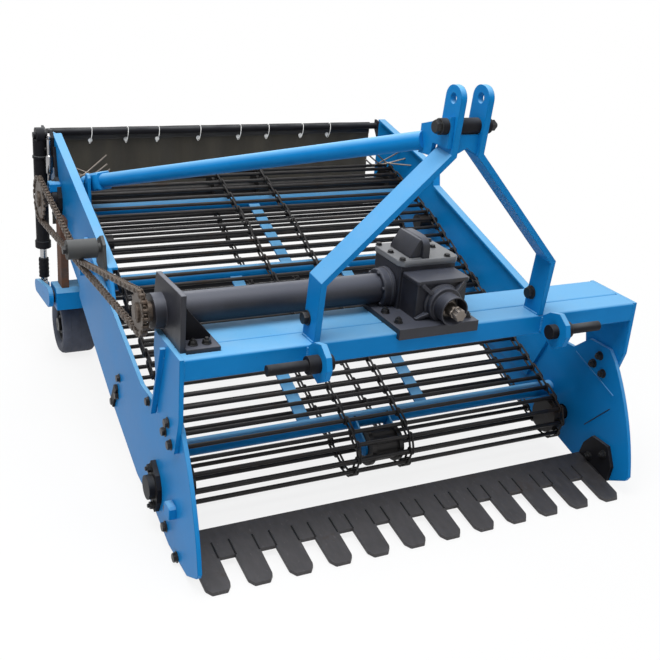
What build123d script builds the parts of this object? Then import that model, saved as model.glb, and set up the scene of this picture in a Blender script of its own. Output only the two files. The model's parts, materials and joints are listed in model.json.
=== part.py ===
from build123d import *
import math
import os

os.makedirs("parts", exist_ok=True)

# Mounted rod-web potato digger. Machine axes: X across, away from the chain side, Y to the rear, Z up.
# Machine zero: middle of the frame, front face of the cross beam, ground.

# Cross beam of two welded box tubes
BEAM_HALF = 708.0
BEAM_TOP = 603.0
BEAM_HEIGHT = 60.0
FRONT_TUBE_DEPTH = 80.0
REAR_TUBE_DEPTH = 120.0
BEAM_CORNER = 7.0
BEAM_DEPTH = FRONT_TUBE_DEPTH + REAR_TUBE_DEPTH

# Side frame, distances from the centre plane
PLATE_THICK = 12.0
POST_IN = BEAM_HALF
POST_OUT = POST_IN + PLATE_THICK
FRONT_PLATE_OUT = POST_IN
FRONT_PLATE_IN = FRONT_PLATE_OUT - PLATE_THICK
REAR_PLATE_OUT = FRONT_PLATE_IN
REAR_PLATE_IN = REAR_PLATE_OUT - PLATE_THICK
FLANGE_WIDTH = 18.0
FLANGE_THICK = 8.0

# Rod web, centre line of the rods as (y, z, radius) turning points
WEB_TURN_R = 68.0
CREST_R = 40.0
WEB_FRONT = (200.0, 135.0, WEB_TURN_R)
WEB_CREST = (1075.0, 538.0, CREST_R)
WEB_REAR = (1400.0, 608.0, WEB_TURN_R)
ROD_R = 6.5
ROD_COUNT = 66
WEB_SIDE_GAP = 44.0
ROD_HALF = REAR_PLATE_IN - WEB_SIDE_GAP
LINK_WIDTH = 10.0
LINK_DEPTH = 6.0
EDGE_INNER = -10.5
EDGE_OUTER = 3.0
MIDDLE_LINES = (-118.0, 62.0)
MIDDLE_OUTER = -ROD_R - 0.1
MIDDLE_INNER = MIDDLE_OUTER - LINK_DEPTH
RUN_GAP = 0.6
ROLLER_SHAFT_R = 20.0
SHAFT_HOLE_R = ROLLER_SHAFT_R + 6.0

# Drive line
DRIVE_Y = 185.0
DRIVE_RISE = 57.0
DRIVE_Z = BEAM_TOP + DRIVE_RISE
DRIVE_TUBE_R = 42.0
CHAIN_OUT = 57.0
CHAIN_X = -BEAM_HALF - CHAIN_OUT
CHAIN_HALF = 9.0
CHAIN_THICK = 7.5
FRONT_SPROCKET_R = 55.0
REAR_SPROCKET_R = 75.0
IDLER_Y = 800.0
IDLER_SINK = 12.0
IDLER_Z = (DRIVE_Z + WEB_REAR[1]) / 2 - IDLER_SINK
IDLER_R = 30.0
IDLER_OVERHANG = 43.0
IDLER_END = CHAIN_X - IDLER_OVERHANG

# Digging blade
TAB_THICK = 12.0
BLADE_HALF = FRONT_PLATE_IN - TAB_THICK
BLADE_TIP_Y = -141.0
BLADE_LENGTH = 225.0
BLADE_SLOPE = 10.3
BLADE_THICK = 10.0
FINGER_COUNT = 12
FINGER_WIDTH = 72.0
FINGER_EDGE = 1.75
FINGER_PITCH = (2 * (BLADE_HALF - FINGER_EDGE) - FINGER_WIDTH) / (FINGER_COUNT - 1)
FINGER_LENGTH = 110.0

# Hitch
LEG_X = 356.0
LEG_WIDTH = 70.0
LEG_THICK = 16.0
TOP_LUG_X = 40.0
TOP_HOLE_Y = -20.0
MAST_RISE = 621.0
TOP_HOLE_Z = BEAM_TOP + MAST_RISE
TOP_HOLE_R = 12.9
LUG_ROUND = 32.0
LOWER_PIN_X = 412.0
LOWER_PIN_Y = -62.0
LOWER_PIN_DROP = 26.0
LOWER_PIN_Z = BEAM_TOP - LOWER_PIN_DROP
LOWER_PIN_R = 14.2
LOWER_PIN_LENGTH = 108.0
LOWER_PIN_END = LOWER_PIN_X + LOWER_PIN_LENGTH

# Rear wheels and their lift
WHEEL_INSET = 45.0
WHEEL_X = REAR_PLATE_OUT - WHEEL_INSET
WHEEL_Y = 1430.0
WHEEL_R = 110.0
WHEEL_HALF = 62.0
PIVOT_Y = 1320.0
PIVOT_Z = 268.0
ROCK_SHAFT_R = 22.0
LIFT_OUT = 41.0
LIFT_X = -REAR_PLATE_OUT - LIFT_OUT
LEVER_REACH = 200.0
LIFT_EYE_Y = PIVOT_Y + LEVER_REACH
LIFT_EYE_Z = 240.0
LIFT_TOP_Z = 805.0
LIFT_PIN_R = 10.0
LEVER_IN = 15.0 - LIFT_X
LEVER_THICK = 16.0

# Rear curtain
CURTAIN_Y = 1640.0
CURTAIN_TOP = 800.0
CURTAIN_BOTTOM = 430.0
CURTAIN_HALF = REAR_PLATE_IN - 12.0
CURTAIN_THICK = 4.0
CURTAIN_BAR_R = 13.0

# Origin of the whole machine: middle of its outline on the ground
ORIGIN_X = (IDLER_END + LEVER_IN) / 2
REAR_END_Y = CURTAIN_Y + CURTAIN_BAR_R + CURTAIN_THICK
BLADE_END_Y = BLADE_TIP_Y - BLADE_THICK * math.sin(math.radians(BLADE_SLOPE))
ORIGIN_Y = (BLADE_END_Y + REAR_END_Y) / 2

SIDES = (-1, 1)


def keep(builder, name):
    """Moves a finished piece to the frame of the whole machine, names it and writes it."""
    placed = builder.part.moved(Location((-ORIGIN_X, -ORIGIN_Y, 0)))
    placed.label = name
    export_step(placed, "parts/" + name + ".step")


def x_low(side, near, far):
    """Lower X of a piece that lies between two distances from the centre plane."""
    return near if side > 0 else -far


def around(y, z, offsets):
    """An outline given by its offsets from a centre."""
    return [(y + dy, z + dz) for dy, dz in offsets]


def belt_path(circles, step_deg=12.0):
    """Points (y, z, ny, nz) along a closed belt around circles; a negative radius is passed on the inside."""
    count = len(circles)
    normals = []
    for i in range(count):
        y0, z0, r0 = circles[i]
        y1, z1, r1 = circles[(i + 1) % count]
        dist = math.hypot(y1 - y0, z1 - z0)
        uy = (y1 - y0) / dist
        uz = (z1 - z0) / dist
        along = (r0 - r1) / dist
        across = math.sqrt(1.0 - along * along)
        normals.append(math.atan2(uz * along + uy * across, uy * along - uz * across))
    path = []
    for i in range(count):
        y, z, r = circles[i]
        start = normals[i - 1]
        turn = (start - normals[i]) % (2.0 * math.pi)
        if r < 0:
            turn = turn - 2.0 * math.pi
        steps = max(1, int(abs(math.degrees(turn)) / step_deg))
        for k in range(steps + 1):
            angle = start - turn * k / steps
            ny = math.cos(angle)
            nz = math.sin(angle)
            path.append((y + r * ny, z + r * nz, ny, nz))
    return path


def shifted(path, offset):
    """The belt line moved along its own normals."""
    return [(y + offset * ny, z + offset * nz) for y, z, ny, nz in path]


def spaced(path, count):
    """Evenly spaced points along a closed belt line."""
    ring_points = path + [path[0]]
    lengths = [0.0]
    for a, b in zip(ring_points[:-1], ring_points[1:]):
        lengths.append(lengths[-1] + math.hypot(b[0] - a[0], b[1] - a[1]))
    points = []
    seg = 0
    for k in range(count):
        target = lengths[-1] * k / count
        while lengths[seg + 1] < target:
            seg += 1
        t = (target - lengths[seg]) / (lengths[seg + 1] - lengths[seg])
        a = ring_points[seg]
        b = ring_points[seg + 1]
        points.append((a[0] + t * (b[0] - a[0]), a[1] + t * (b[1] - a[1])))
    return points


def band(points, thick):
    """Closed outline of a bar of even thickness along a bent line."""
    left = []
    right = []
    last = len(points) - 1
    for i, (px, py) in enumerate(points):
        before = points[max(i - 1, 0)]
        after = points[min(i + 1, last)]
        a = (px - before[0], py - before[1]) if i > 0 else (after[0] - px, after[1] - py)
        b = (after[0] - px, after[1] - py) if i < last else a
        la = math.hypot(*a)
        lb = math.hypot(*b)
        na = (-a[1] / la, a[0] / la)
        nb = (-b[1] / lb, b[0] / lb)
        mid = (na[0] + nb[0], na[1] + nb[1])
        scale = thick / (mid[0] * na[0] + mid[1] * na[1]) / 2.0
        left.append((px + mid[0] * scale, py + mid[1] * scale))
        right.append((px - mid[0] * scale, py - mid[1] * scale))
    return left + right[::-1]


def slab(outline, low, thick, holes=()):
    """Adds a plate seen from the side: outline in (y, z), from X low, with round holes (y, z, r)."""
    with BuildSketch(Plane.YZ.offset(low)) as profile:
        with BuildLine():
            Polyline(*outline, close=True)
        make_face()
        for hy, hz, hr in holes:
            with Locations((hy, hz)):
                Circle(hr, mode=Mode.SUBTRACT)
    extrude(profile.sketch, amount=thick)


def disc(y, z, low, high, radius, bore=0.0, mode=Mode.ADD):
    """Adds, or takes away, a round piece on a cross axis at (y, z)."""
    with BuildSketch(Plane.YZ.offset(low)) as profile:
        with Locations((y, z)):
            Circle(radius)
            if bore > 0:
                Circle(bore, mode=Mode.SUBTRACT)
    extrude(profile.sketch, amount=high - low, mode=mode)


def ring(path, outer, inner, low, thick):
    """Adds a closed band between two offsets of a belt line, from X low."""
    with BuildSketch(Plane.YZ.offset(low)) as profile:
        with BuildLine():
            Polyline(*shifted(path, outer), close=True)
        make_face()
        with BuildLine():
            Polyline(*shifted(path, inner), close=True)
        make_face(mode=Mode.SUBTRACT)
    extrude(profile.sketch, amount=thick)


# Cross beam
with BuildPart() as cross_beam:
    with BuildSketch(Plane.YZ.offset(-BEAM_HALF)):
        with Locations((FRONT_TUBE_DEPTH / 2, BEAM_TOP - BEAM_HEIGHT / 2)):
            RectangleRounded(FRONT_TUBE_DEPTH, BEAM_HEIGHT, BEAM_CORNER)
        with Locations((FRONT_TUBE_DEPTH + REAR_TUBE_DEPTH / 2, BEAM_TOP - BEAM_HEIGHT / 2)):
            RectangleRounded(REAR_TUBE_DEPTH, BEAM_HEIGHT, BEAM_CORNER)
    extrude(amount=2 * BEAM_HALF)
keep(cross_beam, "cross_beam")

# End posts with an outer rib, bolted to the front side plates
POST_OUTLINE = ((0, BEAM_TOP), (BEAM_DEPTH, BEAM_TOP), (BEAM_DEPTH + 6, BEAM_TOP - 55), (150, 338),
                (28, 331), (-2, 436))
RIB_LINE = ((112, BEAM_TOP - 15), (150, 470), (184, 372))
RIB_THICK = 8.0
RIB_HEIGHT = 14.0
with BuildPart() as end_posts:
    for side in SIDES:
        slab(POST_OUTLINE, x_low(side, POST_IN, POST_OUT), PLATE_THICK)
        slab(band(RIB_LINE, RIB_THICK), x_low(side, POST_OUT, POST_OUT + RIB_HEIGHT), RIB_HEIGHT)
keep(end_posts, "end_posts")

# Front side plates: shoe with a round front edge, sloping band behind
SHOE_ARC = ((-137, 72), (-84, 236), (14, 400))
SHOE_BACK = ((14, 400), (46, 430), (140, 428), (205, 372), (361, 366), (737, 498), (1000, 590), (1040, 575),
             (1082, 357), (862, 250), (692, 172), (391, 60), (213, 44), (93, 12), (-57, 16), (-128, 56),
             (-137, 72))
with BuildPart() as front_plates:
    for side in SIDES:
        with BuildSketch(Plane.YZ.offset(x_low(side, FRONT_PLATE_IN, FRONT_PLATE_OUT))):
            with BuildLine():
                ThreePointArc(*SHOE_ARC)
                Polyline(*SHOE_BACK)
            make_face()
            with Locations(WEB_FRONT[:2]):
                Circle(SHAFT_HOLE_R, mode=Mode.SUBTRACT)
        extrude(amount=PLATE_THICK)
keep(front_plates, "front_plates")

# Rear side plates with a turned-in top flange; the right one starts further forward
LEFT_TOP = ((745, 574), (1100, 690), (1490, 818))
RIGHT_TOP = ((310, 440), (1095, 672), (1108, 733), (1566, 830))
REAR_END = ((1592, 806), (1592, 566), (1562, 536))
REAR_LOW = ((1082, 357), (700, 216))
LEFT_FRONT = ((700, 480),)
RIGHT_FRONT = ((400, 180), (330, 330))
with BuildPart() as rear_plates:
    for side, top, front in ((-1, LEFT_TOP, LEFT_FRONT), (1, RIGHT_TOP, RIGHT_FRONT)):
        slab(top + REAR_END + REAR_LOW + front, x_low(side, REAR_PLATE_IN, REAR_PLATE_OUT), PLATE_THICK,
             ((WEB_REAR[0], WEB_REAR[1], SHAFT_HOLE_R),))
        strip = top + tuple((y, z - FLANGE_THICK) for y, z in top[::-1])
        slab(strip, x_low(side, REAR_PLATE_IN - FLANGE_WIDTH, REAR_PLATE_IN), FLANGE_WIDTH)
keep(rear_plates, "rear_plates")

# Mast: two bent flat bars that lean forward and end in the round top-link lugs
MAST_LEAN = math.degrees(math.atan2(LEG_WIDTH / 2 - TOP_HOLE_Y, TOP_HOLE_Z - BEAM_TOP))
MAST_LENGTH = math.hypot(LEG_WIDTH / 2 - TOP_HOLE_Y, TOP_HOLE_Z - BEAM_TOP) + LUG_ROUND
MAST_FRONT = Plane(origin=(0, LEG_WIDTH / 2, BEAM_TOP), x_dir=(1, 0, 0), z_dir=(0, -1, 0))
MAST_PLANE = MAST_FRONT.rotated((MAST_LEAN, 0, 0))
LEG_BEND = 168.0
LUG_BEND = 488.0
MAST_LINE = ((LEG_X, 0), (LEG_X, LEG_BEND), (TOP_LUG_X, LUG_BEND), (TOP_LUG_X, MAST_LENGTH))
with BuildPart() as mast_legs:
    for side in SIDES:
        with BuildSketch(MAST_PLANE):
            with BuildLine():
                Polyline(*band([(side * px, py) for px, py in MAST_LINE], LEG_THICK), close=True)
            make_face()
        extrude(amount=LEG_WIDTH / 2, both=True)
    lug_tops = mast_legs.faces().sort_by(Axis.Z)[-2:]
    fillet(lug_tops.edges().filter_by(Axis.X), LUG_ROUND)
    lug_reach = TOP_LUG_X + LEG_THICK
    disc(TOP_HOLE_Y, TOP_HOLE_Z, -lug_reach, lug_reach, TOP_HOLE_R, mode=Mode.SUBTRACT)
    split(bisect_by=Plane.XY.offset(BEAM_TOP), keep=Keep.TOP)
keep(mast_legs, "mast_legs")

# Spacer tube and bolt between the mast lugs
SPACER_DROP = 68.0
SPACER_HEAD = 18.0
SPACER_Y = TOP_HOLE_Y
SPACER_Z = TOP_HOLE_Z - SPACER_DROP
SPACER_R = 20.0
LUG_FACE_IN = TOP_LUG_X - LEG_THICK / 2
LUG_FACE_OUT = TOP_LUG_X + LEG_THICK / 2
with BuildPart() as mast_spacer:
    disc(SPACER_Y, SPACER_Z, -LUG_FACE_IN, LUG_FACE_IN, SPACER_R)
    disc(SPACER_Y, SPACER_Z, LUG_FACE_OUT, LUG_FACE_OUT + SPACER_HEAD, SPACER_R)
keep(mast_spacer, "mast_spacer")

# Strut from an ear on the left lug to a shoe on the left rear plate
EAR_THICK = 12.0
EAR_OUT = LUG_FACE_OUT + EAR_THICK
EAR_OFFSETS = ((-18, -42), (42, -62), (112, -84), (112, -158), (56, -154), (50, -120), (-18, -120))
STRUT_BACK = 100.0
STRUT_DROP = 124.0
STRUT_INSET = 44.0
STRUT_END = (1250.0, 700.0)
STRUT_FRONT = Vector(-LUG_FACE_OUT - EAR_THICK / 2, TOP_HOLE_Y + STRUT_BACK, TOP_HOLE_Z - STRUT_DROP)
STRUT_REAR = Vector(STRUT_INSET - REAR_PLATE_IN, *STRUT_END)
STRUT_R = 24.0
SHOE_SIZE = (36.0, 56.0, 72.0)
SHOE_DROP = 28.0
EAR_BOLT_R = 19.0
strut_dir = STRUT_REAR - STRUT_FRONT
with BuildPart() as mast_strut:
    with BuildSketch(Plane(origin=STRUT_FRONT, z_dir=strut_dir)):
        Circle(STRUT_R)
    extrude(amount=strut_dir.length)
    slab(around(TOP_HOLE_Y, TOP_HOLE_Z, EAR_OFFSETS), -EAR_OUT, EAR_THICK)
    with Locations((SHOE_SIZE[0] / 2 - REAR_PLATE_IN, STRUT_REAR.Y, STRUT_REAR.Z - SHOE_DROP)):
        Box(*SHOE_SIZE)
    disc(SPACER_Y, SPACER_Z, -EAR_OUT - SPACER_HEAD, -EAR_OUT, EAR_BOLT_R)
keep(mast_strut, "mast_strut")

# Lower hitch lugs on the front of the beam, each with a pin pointing outward
LUG_IN = LEG_X + LEG_THICK / 2
LUG_THICK = 16.0
LUG_OUT = LUG_IN + LUG_THICK
LUG_NOSE = ((32, 45), (-8, 55), (-40, 33), (-50, 0), (-38, -32), (-4, -53))
LUG_SEAT = ((0, BEAM_TOP - BEAM_HEIGHT + 3), (0, BEAM_TOP - 3))
PIN_COLLAR_R = 24.0
PIN_NUT_R = 21.0
PIN_NUT = 22.0
with BuildPart() as hitch_lugs:
    for side in SIDES:
        nose = around(LOWER_PIN_Y, LOWER_PIN_Z, LUG_NOSE)
        slab(nose + list(LUG_SEAT), x_low(side, LUG_IN, LUG_OUT), LUG_THICK)
keep(hitch_lugs, "hitch_lugs")
PIN_STEPS = ((LUG_OUT, LOWER_PIN_X, PIN_COLLAR_R), (LOWER_PIN_X, LOWER_PIN_END, LOWER_PIN_R),
             (LUG_IN - PIN_NUT, LUG_IN, PIN_NUT_R))
with BuildPart() as hitch_pins:
    for side in SIDES:
        for near, far, radius in PIN_STEPS:
            low = x_low(side, near, far)
            disc(LOWER_PIN_Y, LOWER_PIN_Z, low, low + far - near, radius)
keep(hitch_pins, "hitch_pins")

# Right-angle gearbox on the beam: foot with a front lip, box, lower housing of the input bearing in front
BOX_X = 34.0
BOX_Y = 191.0
BOX_SIZE = (176.0, 142.0)
FOOT_X = 5.0
FOOT_SIZE = (250.0, 230.0)
FOOT_THICK = 15.0
LIP_THICK = 14.0
LIP_DROP = 15.0
INPUT_SIZE = (156.0, 80.0)
INPUT_HEIGHT = 108.0
BOX_HEIGHT = 124.0
BOX_LOW = BEAM_TOP + FOOT_THICK
BOX_TOP = BOX_LOW + BOX_HEIGHT
BOX_LEFT = BOX_X - BOX_SIZE[0] / 2
BOX_FRONT = BOX_Y - BOX_SIZE[1] / 2
INPUT_FRONT = BOX_FRONT - INPUT_SIZE[1]
SIDE_BOSS = 35.0
SIDE_BOSS_R = 55.0
FRONT_BOSS = 25.0
FRONT_BOSS_R = 50.0
with BuildPart() as gearbox_housing:
    with Locations((FOOT_X, FOOT_SIZE[1] / 2, BEAM_TOP + FOOT_THICK / 2)):
        Box(*FOOT_SIZE, FOOT_THICK)
    with Locations((FOOT_X, -LIP_THICK / 2, BOX_LOW - (FOOT_THICK + LIP_DROP) / 2)):
        Box(FOOT_SIZE[0], LIP_THICK, FOOT_THICK + LIP_DROP)
    with Locations((BOX_X, BOX_FRONT - INPUT_SIZE[1] / 2, BOX_LOW + INPUT_HEIGHT / 2)):
        Box(*INPUT_SIZE, INPUT_HEIGHT)
    with Locations((BOX_X, BOX_Y, BOX_LOW + BOX_HEIGHT / 2)):
        Box(*BOX_SIZE, BOX_HEIGHT)
    disc(DRIVE_Y, DRIVE_Z, BOX_LEFT - SIDE_BOSS, BOX_LEFT, SIDE_BOSS_R)
    with BuildSketch(Plane.XZ.offset(-INPUT_FRONT)):
        with Locations((BOX_X, DRIVE_Z)):
            Circle(FRONT_BOSS_R)
    extrude(amount=FRONT_BOSS)
keep(gearbox_housing, "gearbox_housing")

COVER_THICK = 18.0
COVER_OVERHANG = 8.0
HUMP = ((-78, 0), (-24, 62), (3, 62), (3, 0))
HUMP_BACK = 252.0
HUMP_LENGTH = 130.0
with BuildPart() as gearbox_cover:
    with Locations((BOX_X, BOX_Y, BOX_TOP + COVER_THICK / 2)):
        Box(BOX_SIZE[0] + 2 * COVER_OVERHANG, BOX_SIZE[1] + 2 * COVER_OVERHANG, COVER_THICK)
    with BuildSketch(Plane.XZ.offset(-HUMP_BACK)):
        with BuildLine():
            Polyline(*around(BOX_X, BOX_TOP + COVER_THICK, HUMP), close=True)
        make_face()
    extrude(amount=HUMP_LENGTH)
keep(gearbox_cover, "gearbox_cover")

# Splined input shaft that the tractor drives
PTO_R = 17.4
PTO_LENGTH = 62.0
PTO_COLLAR_R = 27.0
PTO_COLLAR = 15.0
COLLAR_FRONT = INPUT_FRONT - FRONT_BOSS - PTO_COLLAR
with BuildPart() as input_shaft:
    for start, radius, length in ((COLLAR_FRONT + PTO_COLLAR, PTO_COLLAR_R, PTO_COLLAR),
                                  (COLLAR_FRONT, PTO_R, PTO_LENGTH)):
        with BuildSketch(Plane.XZ.offset(-start)):
            with Locations((BOX_X, DRIVE_Z)):
                Circle(radius)
        extrude(amount=length)
keep(input_shaft, "input_shaft")

# Cross shaft tube and the bearing bracket at its outer end
BRACKET_THICK = 13.0
BRACKET_OUT = BEAM_HALF - 2.0
BRACKET_IN = BRACKET_OUT - BRACKET_THICK
BRACKET_OUTLINE = ((38, BEAM_TOP), (272, BEAM_TOP), (DRIVE_Y + 51, DRIVE_Z + 85),
                   (DRIVE_Y - 113, DRIVE_Z + 92), (38, DRIVE_Z + 92))
BRACKET_FOOT = (88.0, 200.0, 12.0)
BRACKET_FOOT_Y = 128.0
DRIVE_BEARING = 30.0
DRIVE_BEARING_R = 46.0
with BuildPart() as shaft_tube:
    disc(DRIVE_Y, DRIVE_Z, -BRACKET_IN, BOX_LEFT - SIDE_BOSS, DRIVE_TUBE_R)
keep(shaft_tube, "shaft_tube")
with BuildPart() as bearing_bracket:
    slab(BRACKET_OUTLINE, -BRACKET_OUT, BRACKET_THICK)
    with Locations((BRACKET_FOOT[0] / 2 - BRACKET_IN, BRACKET_FOOT_Y, BEAM_TOP + BRACKET_FOOT[2] / 2)):
        Box(*BRACKET_FOOT)
    disc(DRIVE_Y, DRIVE_Z, -BRACKET_OUT - DRIVE_BEARING, -BRACKET_OUT, DRIVE_BEARING_R)
keep(bearing_bracket, "bearing_bracket")

# Chain drive on the left: front sprocket, rear sprocket, roller chain, tension roller
TOOTH_SHAPE = ((-13.0, 0.0), (-13.0, 0.34), (-9.0, 0.5), (-9.0, 0.82))
SPROCKET_THICK = 10.0
HUB_REACH = 24.0
FRONT_HUB_R = 30.0
REAR_HUB_R = 34.0
FRONT_TEETH = 16
REAR_TEETH = 22
SHAFT_OVERHANG = 46.0
WEB_SHAFT_END = REAR_PLATE_OUT + SHAFT_OVERHANG


def sprocket(y, z, radius, teeth, hub_r, hub_high):
    """Adds a toothed wheel in the chain's plane with a hub on its shaft."""
    outline = []
    for k in range(teeth):
        for step, share in TOOTH_SHAPE:
            angle = 2.0 * math.pi * (k + share) / teeth
            outline.append((y + (radius + step) * math.cos(angle), z + (radius + step) * math.sin(angle)))
    slab(outline, CHAIN_X - SPROCKET_THICK / 2, SPROCKET_THICK)
    disc(y, z, CHAIN_X - HUB_REACH, hub_high, hub_r)


with BuildPart() as front_sprocket:
    sprocket(DRIVE_Y, DRIVE_Z, FRONT_SPROCKET_R, FRONT_TEETH, FRONT_HUB_R, -BRACKET_OUT - DRIVE_BEARING)
keep(front_sprocket, "front_sprocket")
with BuildPart() as rear_sprocket:
    sprocket(WEB_REAR[0], WEB_REAR[1], REAR_SPROCKET_R, REAR_TEETH, REAR_HUB_R, -WEB_SHAFT_END)
keep(rear_sprocket, "rear_sprocket")
CHAIN_GAP = 1.5
chain_line = belt_path([(DRIVE_Y, DRIVE_Z, FRONT_SPROCKET_R),
                        (IDLER_Y, IDLER_Z, -IDLER_R - CHAIN_THICK - CHAIN_GAP),
                        (WEB_REAR[0], WEB_REAR[1], REAR_SPROCKET_R)])
with BuildPart() as drive_chain:
    ring(chain_line, CHAIN_THICK, -CHAIN_THICK, CHAIN_X - CHAIN_HALF, 2 * CHAIN_HALF)
keep(drive_chain, "drive_chain")

IDLER_FOOT = ((752, 530), (850, 560))
IDLER_HEAD = ((36, 18), (0, 38), (-32, 18))
IDLER_PLATE = 10.0
IDLER_BOSS = 12.0
IDLER_PIN_R = 14.0
IDLER_IN = REAR_PLATE_OUT + IDLER_PLATE + IDLER_BOSS
with BuildPart() as idler_roller:
    disc(IDLER_Y, IDLER_Z, IDLER_END, -IDLER_IN, IDLER_R)
    disc(IDLER_Y, IDLER_Z, -IDLER_IN, -REAR_PLATE_OUT - IDLER_PLATE, IDLER_PIN_R)
    slab(list(IDLER_FOOT) + around(IDLER_Y, IDLER_Z, IDLER_HEAD), -REAR_PLATE_OUT - IDLER_PLATE, IDLER_PLATE)
keep(idler_roller, "idler_roller")

# Rod web: one fixed loop of rods between two edge belts, with two link lines under the rods
web_line = belt_path([WEB_FRONT, WEB_CREST, WEB_REAR], 15.0)
ROD_END = ROD_HALF - LINK_WIDTH
with BuildPart() as rod_web:
    with BuildSketch(Plane.YZ.offset(-ROD_END)):
        with Locations(*spaced(web_line, ROD_COUNT)):
            RegularPolygon(ROD_R, 6)
    extrude(amount=2 * ROD_END)
    for side in SIDES:
        ring(web_line, EDGE_OUTER, EDGE_INNER, x_low(side, ROD_END, ROD_HALF), LINK_WIDTH)
keep(rod_web, "rod_web")
with BuildPart() as web_links:
    for line_x in MIDDLE_LINES:
        ring(web_line, MIDDLE_OUTER, MIDDLE_INNER, line_x - LINK_WIDTH / 2, LINK_WIDTH)
keep(web_links, "web_links")

# Rollers inside the web: short ones on stub axles and a middle one in front, a through shaft behind
EDGE_ROLLER_IN = ROD_HALF - 25.0
EDGE_ROLLER_OUT = ROD_HALF + 9.0
EDGE_ROLLER_R = WEB_TURN_R + EDGE_INNER - RUN_GAP
MIDDLE_ROLLER_R = WEB_TURN_R + MIDDLE_INNER - RUN_GAP
MIDDLE_ROLLER_HALF = 17.0
CENTRE_ROLLER = (-62.0, 46.0)
CENTRE_ROLLER_R = 46.0
CENTRE_FLANGE = 14.0
with BuildPart() as front_roller:
    for side in SIDES:
        low = x_low(side, EDGE_ROLLER_IN, EDGE_ROLLER_OUT)
        disc(*WEB_FRONT[:2], low, low + EDGE_ROLLER_OUT - EDGE_ROLLER_IN, EDGE_ROLLER_R)
        low = x_low(side, EDGE_ROLLER_OUT, FRONT_PLATE_OUT)
        disc(*WEB_FRONT[:2], low, low + FRONT_PLATE_OUT - EDGE_ROLLER_OUT, ROLLER_SHAFT_R)
    disc(*WEB_FRONT[:2], *CENTRE_ROLLER, CENTRE_ROLLER_R)
    disc(*WEB_FRONT[:2], CENTRE_ROLLER[0], CENTRE_ROLLER[0] + CENTRE_FLANGE, MIDDLE_ROLLER_R)
    disc(*WEB_FRONT[:2], CENTRE_ROLLER[1] - CENTRE_FLANGE, CENTRE_ROLLER[1], MIDDLE_ROLLER_R)
keep(front_roller, "front_roller")
with BuildPart() as web_shaft:
    disc(*WEB_REAR[:2], -WEB_SHAFT_END, REAR_PLATE_OUT, ROLLER_SHAFT_R)
    for side in SIDES:
        low = x_low(side, EDGE_ROLLER_IN, EDGE_ROLLER_OUT)
        disc(*WEB_REAR[:2], low, low + EDGE_ROLLER_OUT - EDGE_ROLLER_IN, EDGE_ROLLER_R)
    for line_x in MIDDLE_LINES:
        disc(*WEB_REAR[:2], line_x - MIDDLE_ROLLER_HALF, line_x + MIDDLE_ROLLER_HALF, MIDDLE_ROLLER_R)
keep(web_shaft, "web_shaft")
CARRIERS = ((WEB_CREST[0], WEB_CREST[1], CREST_R + EDGE_INNER - RUN_GAP), (760.0, 404.0, 26.0))
CARRIER_IN = ROD_HALF - 44.0
CARRIER_OUT = ROD_HALF + 20.0
CARRIER_PIN_R = 12.0
with BuildPart() as carrier_rollers:
    for y, z, r in CARRIERS:
        for side in SIDES:
            low = x_low(side, CARRIER_IN, CARRIER_OUT)
            disc(y, z, low, low + CARRIER_OUT - CARRIER_IN, r)
            low = x_low(side, CARRIER_OUT, REAR_PLATE_IN)
            disc(y, z, low, low + REAR_PLATE_IN - CARRIER_OUT, CARRIER_PIN_R)
keep(carrier_rollers, "carrier_rollers")

# Blue cross tubes between the runs of the web, the straps that lie between them, the middle roller's cheeks
FRONT_TUBE = (285.0, 186.0, FRONT_PLATE_IN)
MIDDLE_TUBE = (930.0, 450.0, REAR_PLATE_IN)
REAR_TUBE = (1312.0, 583.0, REAR_PLATE_IN)
CROSS_TUBES = (FRONT_TUBE, MIDDLE_TUBE, REAR_TUBE)
CROSS_TUBE_R = 25.0
STRAP_THICK = 6.0
STRAP_WIDTH = 42.0
STRAP_LAP = 12.0
STRAPS = ((-215.0, FRONT_TUBE, MIDDLE_TUBE), (200.0, FRONT_TUBE, MIDDLE_TUBE),
          (0.0, MIDDLE_TUBE, REAR_TUBE))
CHEEK_THICK = 6.0
CHEEK_R = 24.0
with BuildPart() as cross_tubes:
    for y, z, reach in CROSS_TUBES:
        disc(y, z, -reach, reach, CROSS_TUBE_R)
keep(cross_tubes, "cross_tubes")
cheek = shifted(belt_path([(*WEB_FRONT[:2], CHEEK_R), (*FRONT_TUBE[:2], CROSS_TUBE_R)]), 0.0)
with BuildPart() as centre_straps:
    for x, first, last in STRAPS:
        a = (first[0] + STRAP_LAP, first[1])
        b = (last[0] - STRAP_LAP, last[1])
        slab(band((a, b), STRAP_THICK), x - STRAP_WIDTH / 2, STRAP_WIDTH)
    slab(cheek, CENTRE_ROLLER[0] - CHEEK_THICK, CHEEK_THICK)
    slab(cheek, CENTRE_ROLLER[1], CHEEK_THICK)
    for y, z, reach in CROSS_TUBES:
        disc(y, z, -reach, reach, CROSS_TUBE_R, mode=Mode.SUBTRACT)
keep(centre_straps, "centre_straps")

# Flange bearings of the two web shafts
FLANGE_DIAMOND = ((0, 74), (34, 38), (44, 0), (34, -38), (0, -74), (-34, -38), (-44, 0), (-34, 38))
BEARING_TILT = math.radians(-14.0)
BEARING_FLANGE = 14.0
BEARING_BOSS = 18.0
BEARING_BOSS_R = 34.0


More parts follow.
